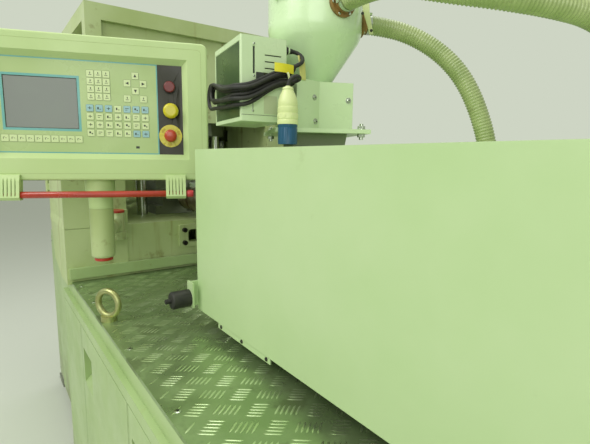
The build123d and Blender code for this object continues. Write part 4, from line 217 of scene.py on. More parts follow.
CAST_PAINT = surface("cast_paint", (140, 150, 122), 0.5, drift=(120, 130, 100), grain=0.5,
                     grain_scale=260.0, depth=0.0004, stain=OIL, edge=0.002)
GALVANISED = surface("galvanised", (176, 180, 128), 0.34, metallic=0.85, drift=(158, 160, 104),
                     drift_scale=40.0, grain=0.3, grain_scale=300.0, rough_drift=0.12)
# Black oxide finish; also the dark hexagons of the deck screws' sockets, which are painted shade.
BLACKENED_AND_SOCKET_SHADE = surface("blackened", (34, 34, 30), 0.45, metallic=0.4, grain=0.3, grain_scale=500.0,
                    drift=(52, 50, 42), drift_scale=30.0, edge=0.0006)
RUBBER = surface("rubber", (30, 31, 28), 0.62, grain=0.5, grain_scale=700.0, drift=(44, 44, 38),
                 drift_scale=60.0)
MEMBRANE = surface("membrane_foil", (176, 196, 134), 0.34, drift=(168, 190, 126), grain=0.08,
                   grain_scale=2500.0)
KEY_FOIL = surface("key_foil", (208, 222, 166), 0.32, drift=(200, 216, 158), grain=0.08)
KEY_BLUE = surface("key_blue_foil", (150, 190, 190), 0.32, drift=(140, 182, 186), grain=0.08)
CYAN_LINE = surface("cyan_line", (110, 176, 170), 0.35, drift=(100, 166, 162), grain=0.05)
# Dark print; the same colour is also painted shade in screw recesses, vent slots and slot openings.
INK_AND_SHADE = surface("ink_and_shade", (44, 52, 40), 0.45, grain=0.05, drift=(54, 62, 48), drift_scale=90.0)
STRIP_BLACK = surface("strip_black", (36, 36, 20), 0.4, grain=0.12, drift=(44, 42, 24), grain_scale=1800.0)
SCREEN_GLASS = surface("screen_glass", (44, 62, 36), 0.07, grain=0.0, coat=1.0, rough_drift=0.02,
                       drift=(52, 72, 40))
YELLOW = surface("yellow_plastic", (208, 196, 22), 0.3, drift=(196, 184, 20), grain=0.08, coat=0.3)
STOP_RED = surface("stop_red", (186, 66, 26), 0.32, drift=(172, 56, 22), grain=0.08, coat=0.3)
DARK_RED = surface("dark_red", (112, 26, 22), 0.35, drift=(96, 22, 18), grain=0.08, coat=0.2)
BAR_RED = surface("bar_red", (178, 50, 26), 0.36, drift=(160, 42, 22), grain=0.15, coat=0.3,
                  drift_scale=14.0)
PINK_CAP = surface("pink_cap", (204, 66, 70), 0.4, drift=(190, 58, 62), grain=0.15)
BLUE = surface("blue_plastic", (20, 80, 112), 0.4, drift=(16, 70, 100), grain=0.2, grain_scale=800.0)
PALE_PLASTIC = surface("pale_plastic", (214, 224, 164), 0.42, drift=(206, 216, 152), grain=0.15)
STRAP = surface("strap_yellow", (206, 206, 124), 0.5, drift=(196, 194, 112), grain=0.3)
TAG = surface("tag_yellow", (220, 212, 40), 0.4, drift=(208, 200, 34), grain=0.1)
LABEL_GREEN = surface("label_green", (42, 68, 34), 0.36, drift=(50, 78, 40), grain=0.1, coat=0.2)
WINDOW_DARK = surface("window_dark", (20, 26, 18), 0.12, grain=0.02, coat=0.6, drift=(26, 32, 22))
TAN = surface("tan_gasket", (150, 118, 62), 0.6, drift=(128, 96, 46), grain=0.4, drift_scale=50.0)
STAINLESS = surface("stainless", (196, 204, 190), 0.22, metallic=1.0, grain=0.1, rough_drift=0.06,
                    drift=(178, 186, 170), edge=0.0004)
BAND = surface("heater_band", (168, 160, 136), 0.36, metallic=0.9, drift=(136, 116, 84),
               drift_scale=20.0, grain=0.2, stain=(84, 62, 38), stain_level=0.6)


def clear_sheet():
    """The guard door's clear pane, with faint haze."""
    pane = surface("clear_sheet", (214, 224, 210), 0.08, grain=0.04, rough_drift=0.04,
                   drift=(204, 216, 200))
    shader = pane.node_tree.nodes["Principled BSDF"]
    shader.inputs["Transmission Weight"].default_value = 0.92
    shader.inputs["IOR"].default_value = 1.1
    shader.inputs["Alpha"].default_value = 0.55
    return pane


def hose_plastic(name, body, wire):
    """Ribbed hose: a pale wall that drifts in patches towards the wire's darker tone, with dust stains."""
    made = surface(name, body, 0.4, drift=wire, drift_scale=18.0, grain=0.15, coat=0.15,
                   stain=(120, 124, 76), stain_scale=26.0, stain_level=0.6, stain_share=0.4)
    return made


PANE = clear_sheet()
HOSE = hose_plastic("hose_wall", (168, 182, 124), (148, 166, 104))
HOSE_CUFF = surface("hose_cuff", (92, 98, 76), 0.5, drift=(78, 84, 62), grain=0.3)

NODE_FINISH = {
    BASE_PAINT: ("base_frame", "base_panels", "front_door_1", "front_door_2", "front_door_3", "clamp_door"),
    CLAMP_PAINT: ("clamp_table", "corner_housings", "guard_frame", "guard_door", "arm_bracket", "arm_link"),
    COVER_PAINT: ("injection_cover",),
    LOADER_PAINT: ("loader_base", "control_box"),
    CANISTER_PAINT: ("loader_canister",),
    LID_PLASTIC: ("loader_lid",),
    CONSOLE_PLASTIC: ("console_housing", "console_bezel"),
    DECK_STEEL: ("deck_plate",),
    GALVANISED: ("lifting_eyes",),
    BARE_STEEL: ("levelling_feet", "carriage_rails", "lower_tooling", "injection_platen",
                 "blow_platen", "stripper_plate", "turret_head", "barrel"),
    GROUND_STEEL: ("tie_columns", "turret_column", "core_rods", "screw"),
    CAST_PAINT: ("feed_housing", "screw_drive", "pump_unit", "top_beam"),
    BAND: ("heater_bands",),
    BLACKENED_AND_SOCKET_SHADE: ("cap_screws", "clamp_door_handle", "lid_latch"),
    RUBBER: ("cover_buffer",),
    MEMBRANE: ("console_membrane",),
    SCREEN_GLASS: ("console_screen",),
    STRIP_BLACK: ("switch_strip",),
    YELLOW: ("estop_ring", "yellow_button"),
    STOP_RED: ("estop_head",),
    DARK_RED: ("red_button",),
    BAR_RED: ("handle_bar", "arm_caps"),
    TAN: ("loader_ports",),
    PANE: ("guard_door_window",),
    HOSE_CUFF: ("hose_ends",),
    PALE_PLASTIC: ("plug_body",),
    BLUE: ("plug_cap",),
    HOSE: ("suction_hose", "vacuum_hose"),
}


def dress_nodes():
    """Gives each carried node its finish, and rounds the shading of its curved faces."""
    for material, names in NODE_FINISH.items():
        for name in names:
            node = CARRIED[name]
            node.data.materials.clear()
            node.data.materials.append(material)
            weld = node.modifiers.new("weld", "WELD")
            weld.merge_threshold = 0.00001


dress_nodes()


# Mesh building, in millimetres

class Shape:
    """Collects the mesh of one piece."""

    def __init__(self):
        self.points = []
        self.faces = []
        self.slots = []

    def add(self, points, faces, place=WORLD, slot=0):
        first = len(self.points)
        self.points += [place @ Vector(point) for point in points]
        self.faces += [[first + index for index in face] for face in faces]
        self.slots += [slot] * len(faces)
        return self

    def block(self, x, y, z, place=WORLD, slot=0):
        corners = [(a, b, c) for a in x for b in y for c in z]
        faces = [(0, 1, 3, 2), (4, 6, 7, 5), (0, 4, 5, 1), (2, 3, 7, 6), (0, 2, 6, 4), (1, 5, 7, 3)]
        return self.add(corners, faces, place, slot)

    def lathe(self, profile, place=WORLD, segments=32, slot=0):
        """Turns a profile of (radius, height) about the place's Z."""
        points, faces = [], []
        for radius, height in profile:
            for step in range(segments):
                angle = 2 * math.pi * step / segments
                points.append((radius * math.cos(angle), radius * math.sin(angle), height))
        for row in range(len(profile) - 1):
            for step in range(segments):
                after = (step + 1) % segments
                low, high = row * segments, (row + 1) * segments
                faces.append((low + step, low + after, high + after, high + step))
        if profile[0][0] > 0:
            faces.append(tuple(reversed(range(segments))))
        if profile[-1][0] > 0:
            last = (len(profile) - 1) * segments
            faces.append(tuple(range(last, last + segments)))
        return self.add(points, faces, place, slot)

    def slab(self, outline, low, high, place=WORLD, slot=0):
        """An upright-sided slab over an outline that runs anticlockwise."""
        count = len(outline)
        points = [(x, y, low) for x, y in outline] + [(x, y, high) for x, y in outline]
        faces = [tuple(reversed(range(count))), tuple(range(count, 2 * count))]
        faces += [(i, (i + 1) % count, count + (i + 1) % count, count + i) for i in range(count)]
        return self.add(points, faces, place, slot)

    def hexagon(self, across, low, high, place=WORLD, slot=0):
        radius = across / math.sqrt(3)
        outline = [(radius * math.cos(math.radians(60 * i)), radius * math.sin(math.radians(60 * i)))
                   for i in range(6)]
        return self.slab(outline, low, high, place, slot)

    def tube(self, path, radii, segments=20, slot=0, capped=True):
        """A round tube along a path, with a radius for each of its points."""
        points, faces = [], []
        side = None
        for index, point in enumerate(path):
            before = path[max(index - 1, 0)]
            after = path[min(index + 1, len(path) - 1)]
            along = (after - before).normalized()
            if side is None:
                side = along.orthogonal().normalized()
            side = (side - along * side.dot(along)).normalized()
            other = along.cross(side)
            radius = radii[index]
            for step in range(segments):
                angle = 2 * math.pi * step / segments
                points.append(point + side * (radius * math.cos(angle)) + other * (radius * math.sin(angle)))
        for row in range(len(path) - 1):
            low, high = row * segments, (row + 1) * segments
            for step in range(segments):
                after = (step + 1) % segments
                faces.append((low + step, low + after, high + after, high + step))
        if capped:
            last = (len(path) - 1) * segments
            faces.append(tuple(reversed(range(segments))))
            faces.append(tuple(range(last, last + segments)))
        return self.add(points, faces, WORLD, slot)

    def finish(self, name, body, *materials, sharp=35.0, bevel=0.0):
        """Makes the object, in metres, and lets it ride on its body."""
        mesh = bpy.data.meshes.new(name)
        mesh.from_pydata([point * SCALE for point in self.points], [], self.faces)
        for material in materials:
            mesh.materials.append(material)
        mesh.polygons.foreach_set("material_index", self.slots)
        mesh.polygons.foreach_set("use_smooth", [True] * len(mesh.polygons))
        mesh.set_sharp_from_angle(angle=math.radians(sharp))
        mesh.update()
        piece = bpy.data.objects.new(name, mesh)
        bpy.context.scene.collection.objects.link(piece)
        if bevel:
            rounding = piece.modifiers.new("rounding", "BEVEL")
            rounding.width = bevel * SCALE
            rounding.segments = 2
            rounding.limit_method = "ANGLE"
            rounding.angle_limit = math.radians(40)
        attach(piece, body)
        return piece


def rounded_outline(width, height, radius, middle=(0.0, 0.0), steps=5):
    """The outline of a rectangle with round corners, anticlockwise."""
    outline = []
    for quarter, (sign_x, sign_y) in enumerate(((1, 1), (-1, 1), (-1, -1), (1, -1))):
        centre_x = middle[0] + sign_x * (width / 2 - radius)
        centre_y = middle[1] + sign_y * (height / 2 - radius)
        for step in range(steps + 1):
            angle = math.pi / 2 * (quarter + step / steps)
            outline.append((centre_x + radius * math.cos(angle), centre_y + radius * math.sin(angle)))
    return outline


def ring_frame(shape, outer, inner, low, high, place, slot=0):
    """A flat frame between two outlines of equally many points."""
    count = len(outer)
    points = [(x, y, low) for x, y in outer] + [(x, y, high) for x, y in outer]
    points += [(x, y, low) for x, y in inner] + [(x, y, high) for x, y in inner]
    faces = []
    for i in range(count):
        j = (i + 1) % count
        faces.append((i, j, count + j, count + i))
        faces.append((2 * count + j, 2 * count + i, 3 * count + i, 3 * count + j))
        faces.append((count + i, count + j, 3 * count + j, 3 * count + i))
        faces.append((j, i, 2 * count + i, 2 * count + j))
    return shape.add(points, faces, place, slot)


def disc_place(x, y, z, place=WORLD):
    return place @ Matrix.Translation((x, y, z))


def side_place(point, out, place=WORLD):
    """A place whose Z points along a direction."""
    turn = Vector((0.0, 0.0, 1.0)).rotation_difference(Vector(out).normalized()).to_matrix().to_4x4()
    return place @ Matrix.Translation(point) @ turn


def pan_screw(shape, place, radius, height, slot=0, recess_shade_slot=None):
    """A pan-head screw standing on the place's XY plane; its cross recess is a dark raised cross, painted
    shade.
    """
    profile = [(radius, -0.5), (radius, height * 0.45), (radius * 0.86, height * 0.8), (radius * 0.5, height),
               (0.0, height * 1.02)]
    shape.lathe(profile, place, 20, slot)
    if recess_shade_slot is not None:
        arm, wide = radius * 0.55, radius * 0.14
        low, high = height * 0.9, height * 1.06
        shape.block((-arm, arm), (-wide, wide), (low, high), place, recess_shade_slot)
        shape.block((-wide, wide), (-arm, arm), (low, high + 0.01), place, recess_shade_slot)


# Camera, as solved from the photograph's edges

def make_camera():
    yaw, pitch, roll = 2.514226885721721, -0.14627034451221296, 0.011984900332641598
    forward = Vector((math.cos(pitch) * math.cos(yaw), math.cos(pitch) * math.sin(yaw), math.sin(pitch)))
    right = Vector((math.sin(yaw), -math.cos(yaw), 0.0))
    up = right.cross(forward)
    across = right * math.cos(roll) + up * math.sin(roll)
    above = up * math.cos(roll) - right * math.sin(roll)
    turned = Matrix([[column[row] for column in (across, above, -forward)] for row in range(3)]).to_4x4()
    data = bpy.data.cameras.new("camera")
    data.sensor_width = 36.0
    data.lens = 26.215
    data.clip_start = 0.02
    data.clip_end = 200.0
    camera = bpy.data.objects.new("camera", data)
    camera.matrix_world = Matrix.Translation((1.370, -0.704, 1.405)) @ turned
    bpy.context.scene.collection.objects.link(camera)
    bpy.context.scene.camera = camera


make_camera()


# Cords: one smooth NURBS line each, in millimetres

def smooth_line(name, points, radius, material=None):
    """An open NURBS curve through the pull of its control points."""
    curve = bpy.data.curves.new(name, "CURVE")
    curve.dimensions = "3D"
    curve.resolution_u = 12
    curve.bevel_depth = radius * SCALE
    curve.bevel_resolution = 5
    curve.use_fill_caps = True
    spline = curve.splines.new("NURBS")
    spline.points.add(len(points) - 1)
    for control, point in zip(spline.points, points):
        control.co = (*(Vector(point) * SCALE), 1.0)
    spline.order_u = 3
    spline.use_endpoint_u = True
    if material:
        curve.materials.append(material)
    made = bpy.data.objects.new(name, curve)
    bpy.context.scene.collection.objects.link(made)
    return made


def read_line(points):
    """The smooth line of a route, read back as points in millimetres."""
    guide = smooth_line("guide", points, 0.0)
    guide.data.resolution_u = 48
    bpy.context.view_layer.update()
    mesh = bpy.data.meshes.new_from_object(guide.evaluated_get(bpy.context.evaluated_depsgraph_get()))
    line = [vertex.co / SCALE for vertex in mesh.vertices]
    bpy.data.objects.remove(guide)
    bpy.data.meshes.remove(mesh)
    return line


def even_steps(line, step):
    """Points at even distances along a line, with the distance of each."""
    found, left, total = [(line[0].copy(), 0.0)], step, 0.0
    for start, end in zip(line, line[1:]):
        length = (end - start).length
        at = 0.0
        while length - at >= left:
            at += left
            total += left
            found.append((start.lerp(end, at / length), total))
            left = step
        left -= length - at
        total += length - at
    return found


SUCTION_START = ((530.006, 120.54, 1747.0), (556.208, 176.731, 1743.0))
SUCTION_REST = (
    (594.0, 222.0, 1725.0),
    (638.0, 260.0, 1691.0),
    (680.0, 286.0, 1646.0),
    (714.0, 304.0, 1592.0),
    (740.0, 320.0, 1526.0),
    (761.0, 334.0, 1448.0),
    (772.0, 344.0, 1338.0),
    (778.0, 351.0, 1222.0),
    (826.0, 352.0, 1114.0),
    (912.0, 352.0, 1037.0),
    (1020.0, 350.0, 1006.0),
    (1134.0, 346.0, 1004.5),
    (1246.0, 352.0, 1004.5),
    (1345.0, 354.0, 1004.5),
)
VACUUM_START = ((606.065, -15.748, 1756.0), (693.446, -26.168, 1756.0))
VACUUM_REST = (
    (778.0, -16.0, 1740.0),
    (853.0, 18.0, 1714.0),
    (919.0, 74.0, 1698.0),
    (968.0, 150.0, 1688.0),
    (1013.0, 236.0, 1673.0),
    (1043.0, 318.0, 1628.0),
    (1058.0, 386.0, 1555.0),
    (1063.0, 428.0, 1458.0),
    (1062.0, 441.0, 1350.0),
    (1056.0, 441.0, 1240.0),
    (1014.0, 441.0, 1136.0),
    (932.0, 441.0, 1062.0),
    (826.0, 440.0, 1018.0),
    (712.0, 443.0, 1004.5),
    (600.0, 436.0, 1004.5),
    (494.0, 440.0, 1004.5),
)
HOSE_RIB_PITCH = 7.5
HOSE_RADIUS = 23.5
HOSE_GROOVE = 2.2


def hose_cuff(name, points, length, material):
    """The open sleeve on a hose's free end, ribbed where it grips the hose."""
    end = Vector(points[-1])
    place = side_place(end, end - Vector(points[-2]))
    profile = [(23.4, -2.0), (24.3, 0.0), (24.3, 5.0), (23.6, 6.0), (23.6, 9.0), (24.3, 10.0), (24.3, 15.0),
               (23.6, 16.0), (23.6, 19.0), (24.3, 20.0), (24.3, 25.0), (23.8, 27.0), (23.8, length - 8.0),
               (24.3, length - 7.0), (24.3, length - 1.0), (23.5, length), (20.2, length),
               (19.5, length - 1.0), (19.5, 12.0), (0.0, 12.0)]
    return Shape().lathe(profile, place, 48).finish(name, "carriage", material)


def ribbed_hose(name, node, points):
    """A wire-ribbed hose along its smooth line."""
    line = read_line(points)
    quarter = HOSE_RIB_PITCH / 4
    stations = even_steps(line, quarter)
    heights = (0.0, -HOSE_GROOVE * 0.55, -HOSE_GROOVE, -HOSE_GROOVE * 0.55)
    radii = [HOSE_RADIUS + heights[index % 4] for index in range(len(stations))]
    shape = Shape()
    shape.tube([point for point, _ in stations], radii, 28)
    hose = shape.finish(name, "carriage", HOSE, sharp=80.0)
    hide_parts(node)
    return hose


LANCE = hose_cuff("suction_lance", SUCTION_REST, 120.0, STAINLESS)
CUFF = hose_cuff("vacuum_cuff", VACUUM_REST, 70.0, HOSE_CUFF)
for SLEEVE in (LANCE, CUFF):
    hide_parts("hose_ends")
ribbed_hose("suction_hose_ribbed", "suction_hose", (*SUCTION_START, *SUCTION_REST))
ribbed_hose("vacuum_hose_ribbed", "vacuum_hose", (*VACUUM_START, *VACUUM_REST))


# The cable's loops lie in two layers: each layer's distance from the control box's faces and its bend
INNER_LAYER = (12.6, 26.0)
OUTER_LAYER = (21.7, 36.0)
# Ways leftwards from the front's middle: the tie, the left corner, the strand's end and its stations
TIE_ALONG = -43.0
CORNER_ALONG = 60.0
STRAND_REACH = (55.0, 170.0)
STATIONS = (-98.0, -86.0, -74.0, -62.0, -50.0, -36.0, -18.0, 2.0, 20.0, 36.0, 49.0, 62.0, 75.0, 88.0, 106.0,
            130.0, 156.0)


def fold_point(along, z, layer):
    """A spot in the folded cable, by its way leftwards from the middle of the control box's front."""
    middle = CONTROL_WIDTH / 2
    off, bend = (low + (high - low) * layer for low, high in zip(INNER_LAYER, OUTER_LAYER))
    half = middle + off - bend
    arc = bend * math.pi / 2
    run = abs(along)
    if run <= half:
        out, back = run, -off
    elif run <= half + arc:
        turned = (run - half) / bend
        out = half + bend * math.sin(turned)
        back = -off + bend * (1.0 - math.cos(turned))
    else:
        out, back = half + bend, -off + bend + (run - half - arc)
    return (middle - math.copysign(out, along), back, z)


def smooth(share):
    return share * share * (3.0 - 2.0 * share)


def strand(right, tied, corner, left, layers=(0.0, 0.0)):
    """The points of one strand from the box's right side to its left side.

    It is given its heights at the right side, the tie, the left corner and the left side, and its layers
    at the right side and beyond the tie.
    """
    points = []
    for along in STATIONS:
        spread = 0.0
        if along < TIE_ALONG:
            spread = smooth((TIE_ALONG - along) / STRAND_REACH[0])
            z = tied + (right - tied) * spread
        elif along < CORNER_ALONG:
            z = tied + (corner - tied) * smooth((along - TIE_ALONG) / (CORNER_ALONG - TIE_ALONG))
        else:
            z = corner + (left - corner) * ((along - CORNER_ALONG) / STRAND_REACH[1]) ** 2
        points.append(fold_point(along, z, layers[1] + (layers[0] - layers[1]) * spread))
    return points


def fold_end(middle, z, radius, layer, side):
    """The points of a loop's end, from its upper strand to its lower one."""
    reach = radius / math.cos(math.radians(15.0))
    lead_in = middle - side * radius * 0.268
    points = [fold_point(lead_in, z + radius, layer)]
    for angle in (75.0, 45.0, 15.0, -15.0, -45.0, -75.0):
        turned = math.radians(angle)
        along = middle + side * reach * math.cos(turned)
        points.append(fold_point(along, z + reach * math.sin(turned), layer))
    points.append(fold_point(lead_in, z - radius, layer))
    return points


def power_cable():
    """The cable from its gland, in three loops folded round the control box's front, to the plug."""
    lead = [(122.0, 16.0, 1648.0), (133.0, 16.0, 1648.0), (143.0, 12.0, 1645.0), (147.5, 2.0, 1637.0),
            (146.0, -9.0, 1627.0), (138.0, -18.0, 1617.5), (125.0, -22.5, 1610.0), (109.0, -20.5, 1603.5),
            (93.0, -15.8, 1598.5)]
    turns = strand(1596.0, 1595.8, 1559.8, 1584.0)[6:]
    turns += fold_end(246.0, 1555.0, 29.0, 0.0, 1)
    turns += strand(1563.0, 1568.0, 1519.0, 1526.0)[::-1]
    turns += fold_end(-113.0, 1583.5, 20.5, 0.0, -1)[::-1]
    turns += strand(1604.0, 1586.5, 1550.2, 1574.5)
    turns += fold_end(220.0, 1556.5, 18.0, 0.0, 1)
    turns += strand(1577.0, 1577.0, 1540.5, 1538.5, (1.0, 0.0))[::-1]
    turns += fold_end(-113.0, 1595.5, 18.5, 1.0, -1)[::-1]
    turns += strand(1614.0, 1590.5, 1553.5, 1578.0, (1.0, 1.0))
    turns += fold_end(216.0, 1559.5, 18.5, 1.0, 1)
    turns += strand(1570.0, 1572.0, 1531.0, 1541.0, (1.0, 1.0))[:4:-1]
    tail = [(105.0, -23.0, 1572.5), (118.0, -31.0, 1574.5), (121.0, -46.0, 1578.0), (108.0, -59.0, 1580.5),
            (93.5, -58.0, 1576.0), (88.0, -52.5, 1564.0), (*PLUG_AXIS, 1554.0)]
    points = [CONTROL @ Vector(point) for point in (*lead, *turns, *tail)]
    cable = smooth_line("power_cable_line", points, 4.5, RUBBER)
    line = read_line(points)
    length = sum((b - a).length for a, b in zip(line, line[1:]))
    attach(cable, "carriage")
    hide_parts("power_cable", "power_cable_coil")
    return cable, points[0], length


CABLE, CABLE_EXIT, CABLE_LENGTH = power_cable()


def plug():
    """The connector: a ribbed pale body and a blue socket end."""
    place = disc_place(*PLUG_AXIS, 0.0, CONTROL)
    profile = [(0.0, 1478.0), (22.6, 1478.0), (23.0, 1481.0), (23.0, 1486.0), (22.0, 1487.0), (22.0, 1489.0),
               (22.8, 1490.0), (22.6, 1500.0), (21.8, 1501.0), (21.8, 1503.0), (22.4, 1504.0), (22.0, 1514.0),
               (21.2, 1515.0), (21.2, 1517.0), (21.6, 1518.0), (20.6, 1529.0), (17.0, 1540.0), (13.4, 1547.0),
               (13.0, 1549.0), (11.4, 1550.0), (11.4, 1551.0), (12.6, 1552.0), (11.0, 1556.0), (6.0, 1557.0),
               (5.6, 1559.0), (0.0, 1559.0)]
    body = Shape().lathe(profile, place, 40)
    for index in range(8):
        angle = math.radians(45 * index)
        spot = place @ Matrix.Rotation(angle, 4, "Z")
        body.block((22.0, 23.2), (-3.2, 3.2), (1491.5, 1498.5), spot)
    shell = body.finish("plug_shell", "carriage", PALE_PLASTIC, bevel=0.4)
    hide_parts("plug_body")
    cap = Shape().lathe([(17.6, 1437.0), (19.8, 1436.0), (20.3, 1437.0), (20.3, 1471.0), (21.4, 1473.0),
                         (21.4, 1478.0), (17.6, 1478.0)], place, 40)
    for index in range(12):
        spot = place @ Matrix.Rotation(math.radians(30 * index), 4, "Z")
        cap.block((19.9, 20.9), (-1.3, 1.3), (1440.0, 1470.0), spot)
    end = cap.finish("plug_socket", "carriage", BLUE, bevel=0.3)
    return shell, end


PLUG_SHELL, PLUG_SOCKET = plug()


def cable_relief():
    """The tapered strain relief at the control box's gland, with its nut."""
    place = side_place(GLAND, (1.0, 0.0, 0.0), CONTROL)
    shape = Shape()
    shape.hexagon(17.0, 2.0, 8.0, place)
    profile = [(6.9, 8.0), (7.2, 10.0), (6.4, 10.8), (6.8, 12.4), (6.0, 13.2), (6.4, 14.8), (5.7, 15.6),
               (6.0, 17.2), (5.4, 18.0), (5.5, 19.6), (5.0, 20.4), (4.8, 22.0)]
    shape.lathe(profile, place, 24)
    return shape.finish("cable_relief", "carriage", RUBBER, bevel=0.3)


RELIEF = cable_relief()


def cable_tie():
    """The tie that gathers the turns at the box's front, with its bare yellow tag."""
    band = Shape()
    place = side_place((98.0, -17.0, 1581.5), (1.0, 0.0, 0.28), CONTROL)
    outer = rounded_outline(39.5, 25.0, 9.0)
    inner = rounded_outline(37.0, 22.4, 8.0)
    ring_frame(band, outer, inner, -2.4, 2.4, place @ Matrix.Rotation(math.radians(90), 4, "Z"))
    band.block((-4.0, 4.0), (-18.0, -13.0), (-3.0, 3.0), place @ Matrix.Rotation(math.radians(60), 4, "Z"))
    tie = band.finish("cable_tie", "carriage", PALE_PLASTIC)
    tag = Shape()
    columns = 8
    points, faces = [], []
    for depth in (0.0, 0.5):
        for row in range(2):
            for column in range(columns + 1):
                along = column / columns
                bow = -30.0 - 4.0 * math.sin(math.pi * along) - depth
                points.append((66.0 + 46.0 * along, bow, 1591.0 + row * 18.5 - 2.0 * along))
    wide = columns + 1
    for column in range(columns):
        a, b = column, column + 1
        front, back = 2 * wide, 0
        faces.append((front + a, front + b, front + wide + b, front + wide + a))
        faces.append((back + b, back + a, back + wide + a, back + wide + b))
        faces.append((back + a, back + b, front + b, front + a))
        faces.append((back + wide + b, back + wide + a, front + wide + a, front + wide + b))
    faces.append((0, 2 * wide, 3 * wide, wide))
    faces.append((columns, wide + columns, 3 * wide + columns, 2 * wide + columns))
    tag.add(points, faces, CONTROL)
    sheet = tag.finish("bare_tag", "carriage", TAG)
    return tie, sheet


TIE, TAG_SHEET = cable_tie()


# Console face

PANEL_Z = 36.0
SCREEN = ((-203.0, -36.6), (-50.0, 76.6))
WINDOW = ((-223.0, 223.0), (-112.0, 122.5))
STRIP_X = 159.5
KEY = 17.0
FUNCTION_START, FUNCTION_PITCH = (-9.0, 4.4), (22.5, -21.0)
ARROWS = ((104.0, 90.5, 90), (84.0, 71.0, 180), (123.6, 71.0, 0), (104.0, 52.0, 270))
SMALL_KEYS = ((83.0, 32.0), (123.4, 32.0))


def rectangle_frame(shape, x, y, width, low, high, slot=0):
    """A flat frame just inside a rectangle on the console's face."""
    shape.block(x, (y[0], y[0] + width), (low, high), CONSOLE, slot)
    shape.block(x, (y[1] - width, y[1]), (low, high), CONSOLE, slot)
    shape.block((x[0], x[0] + width), (y[0] + width, y[1] - width), (low, high), CONSOLE, slot)
    shape.block((x[1] - width, x[1]), (y[0] + width, y[1] - width), (low, high), CONSOLE, slot)


def console_print():
    lines = Shape()
    rectangle_frame(lines, (WINDOW[0][0], STRIP_X), WINDOW[1], 3.0, PANEL_Z - 0.05, PANEL_Z + 0.12)
    around = ((SCREEN[0][0] - 6, SCREEN[0][1] + 6), (SCREEN[1][0] - 6, SCREEN[1][1] + 6))
    rectangle_frame(lines, *around, 6.0, PANEL_Z - 0.05, PANEL_Z + 0.12)
    lines.finish("membrane_lines", "console", CYAN_LINE)
    inner = Shape()
    rectangle_frame(inner, SCREEN[0], SCREEN[1], 1.6, PANEL_Z - 2.2, PANEL_Z - 1.6)
    inner.finish("screen_edge", "console", INK_AND_SHADE)


console_print()


def key_list():
    """Each key's middle, its kind and its own finish."""
    keys = [(-206.7 + 18.7 * index, -76.0, "soft", 0) for index in range(10)]
    keys += [(-4.5 + 19.0 * column, 90.3 - 19.0 * row, "number", 0)
             for row in range(4) for column in range(3)]
    for row in range(4):
        for column in range(7):
            blue = (row == 0 and column != 3) or (row == 3 and column > 4)
            x = FUNCTION_START[0] + column * FUNCTION_PITCH[0]
            keys.append((x, FUNCTION_START[1] + row * FUNCTION_PITCH[1], "function", int(blue)))
    keys += [(x, y, turn, 0) for x, y, turn in ARROWS]
    keys += [(x, y, "number", 0) for x, y in SMALL_KEYS]
    return keys


def key_marks(shape, x, y, kind, pick):
    """A small generic mark on one key."""
    z = (PANEL_Z + 0.95, PANEL_Z + 1.2)
    spot = CONSOLE @ Matrix.Translation((x, y, 0.0))
    if isinstance(kind, int):
        turned = spot @ Matrix.Rotation(math.radians(kind), 4, "Z")
        shape.slab([(-3.6, -3.8), (4.4, 0.0), (-3.6, 3.8)], z[0], z[1], turned)
        return
    if kind == "soft":
        shape.block((-3.6, -2.4), (-2.6, 2.6), z, spot)
        shape.block((-2.2, 0.4), (1.6, 2.6), z, spot)
        shape.block((1.4, 3.8), (-0.6, 0.6), z, spot)
        return
    if kind == "number":
        shape.block((-1.0, 1.0), (-0.4, 4.2), z, spot)
        shape.block((-3.8, 3.8), (-3.6, -2.4), z, spot)
        return
    forms = (((-4.4, 4.4, -0.7, 0.7), (-0.7, 0.7, -3.6, 3.6)),
             ((-4.4, -1.0, -3.0, 3.0), (0.6, 4.2, -3.0, -1.6)),
             ((-4.6, 4.6, 1.8, 3.0), (-4.6, 1.0, -2.6, -1.4)),
             ((-4.2, 0.2, -1.2, 3.4), (1.4, 4.4, -3.4, -0.4)))
    for low_x, high_x, low_y, high_y in forms[pick % 4]:
        shape.block((low_x, high_x), (low_y, high_y), z, spot)


def console_keys():
    chance = random.Random(7)
    rims, faces, marks = Shape(), Shape(), Shape()
    for x, y, kind, blue in key_list():
        outer, inner, face = (rounded_outline(KEY + more, KEY + more, radius, (x, y), 3)
                              for more, radius in ((1.6, 2.6), (-0.4, 1.8), (0.2, 2.0)))
        ring_frame(rims, outer, inner, PANEL_Z - 0.05, PANEL_Z + 0.5, CONSOLE)
        faces.slab(face, PANEL_Z, PANEL_Z + 1.0, CONSOLE, blue)
        key_marks(marks, x, y, kind, chance.randrange(4))
    rims.finish("key_rims", "console", surface("key_rim", (112, 128, 84), 0.4, grain=0.05))
    faces.finish("key_faces", "console", KEY_FOIL, KEY_BLUE, bevel=0.3)
    marks.block((100.0, 109.0), (-97.0, -91.0), (PANEL_Z, PANEL_Z + 0.2), CONSOLE)
    marks.finish("key_marks", "console", INK_AND_SHADE)


console_keys()


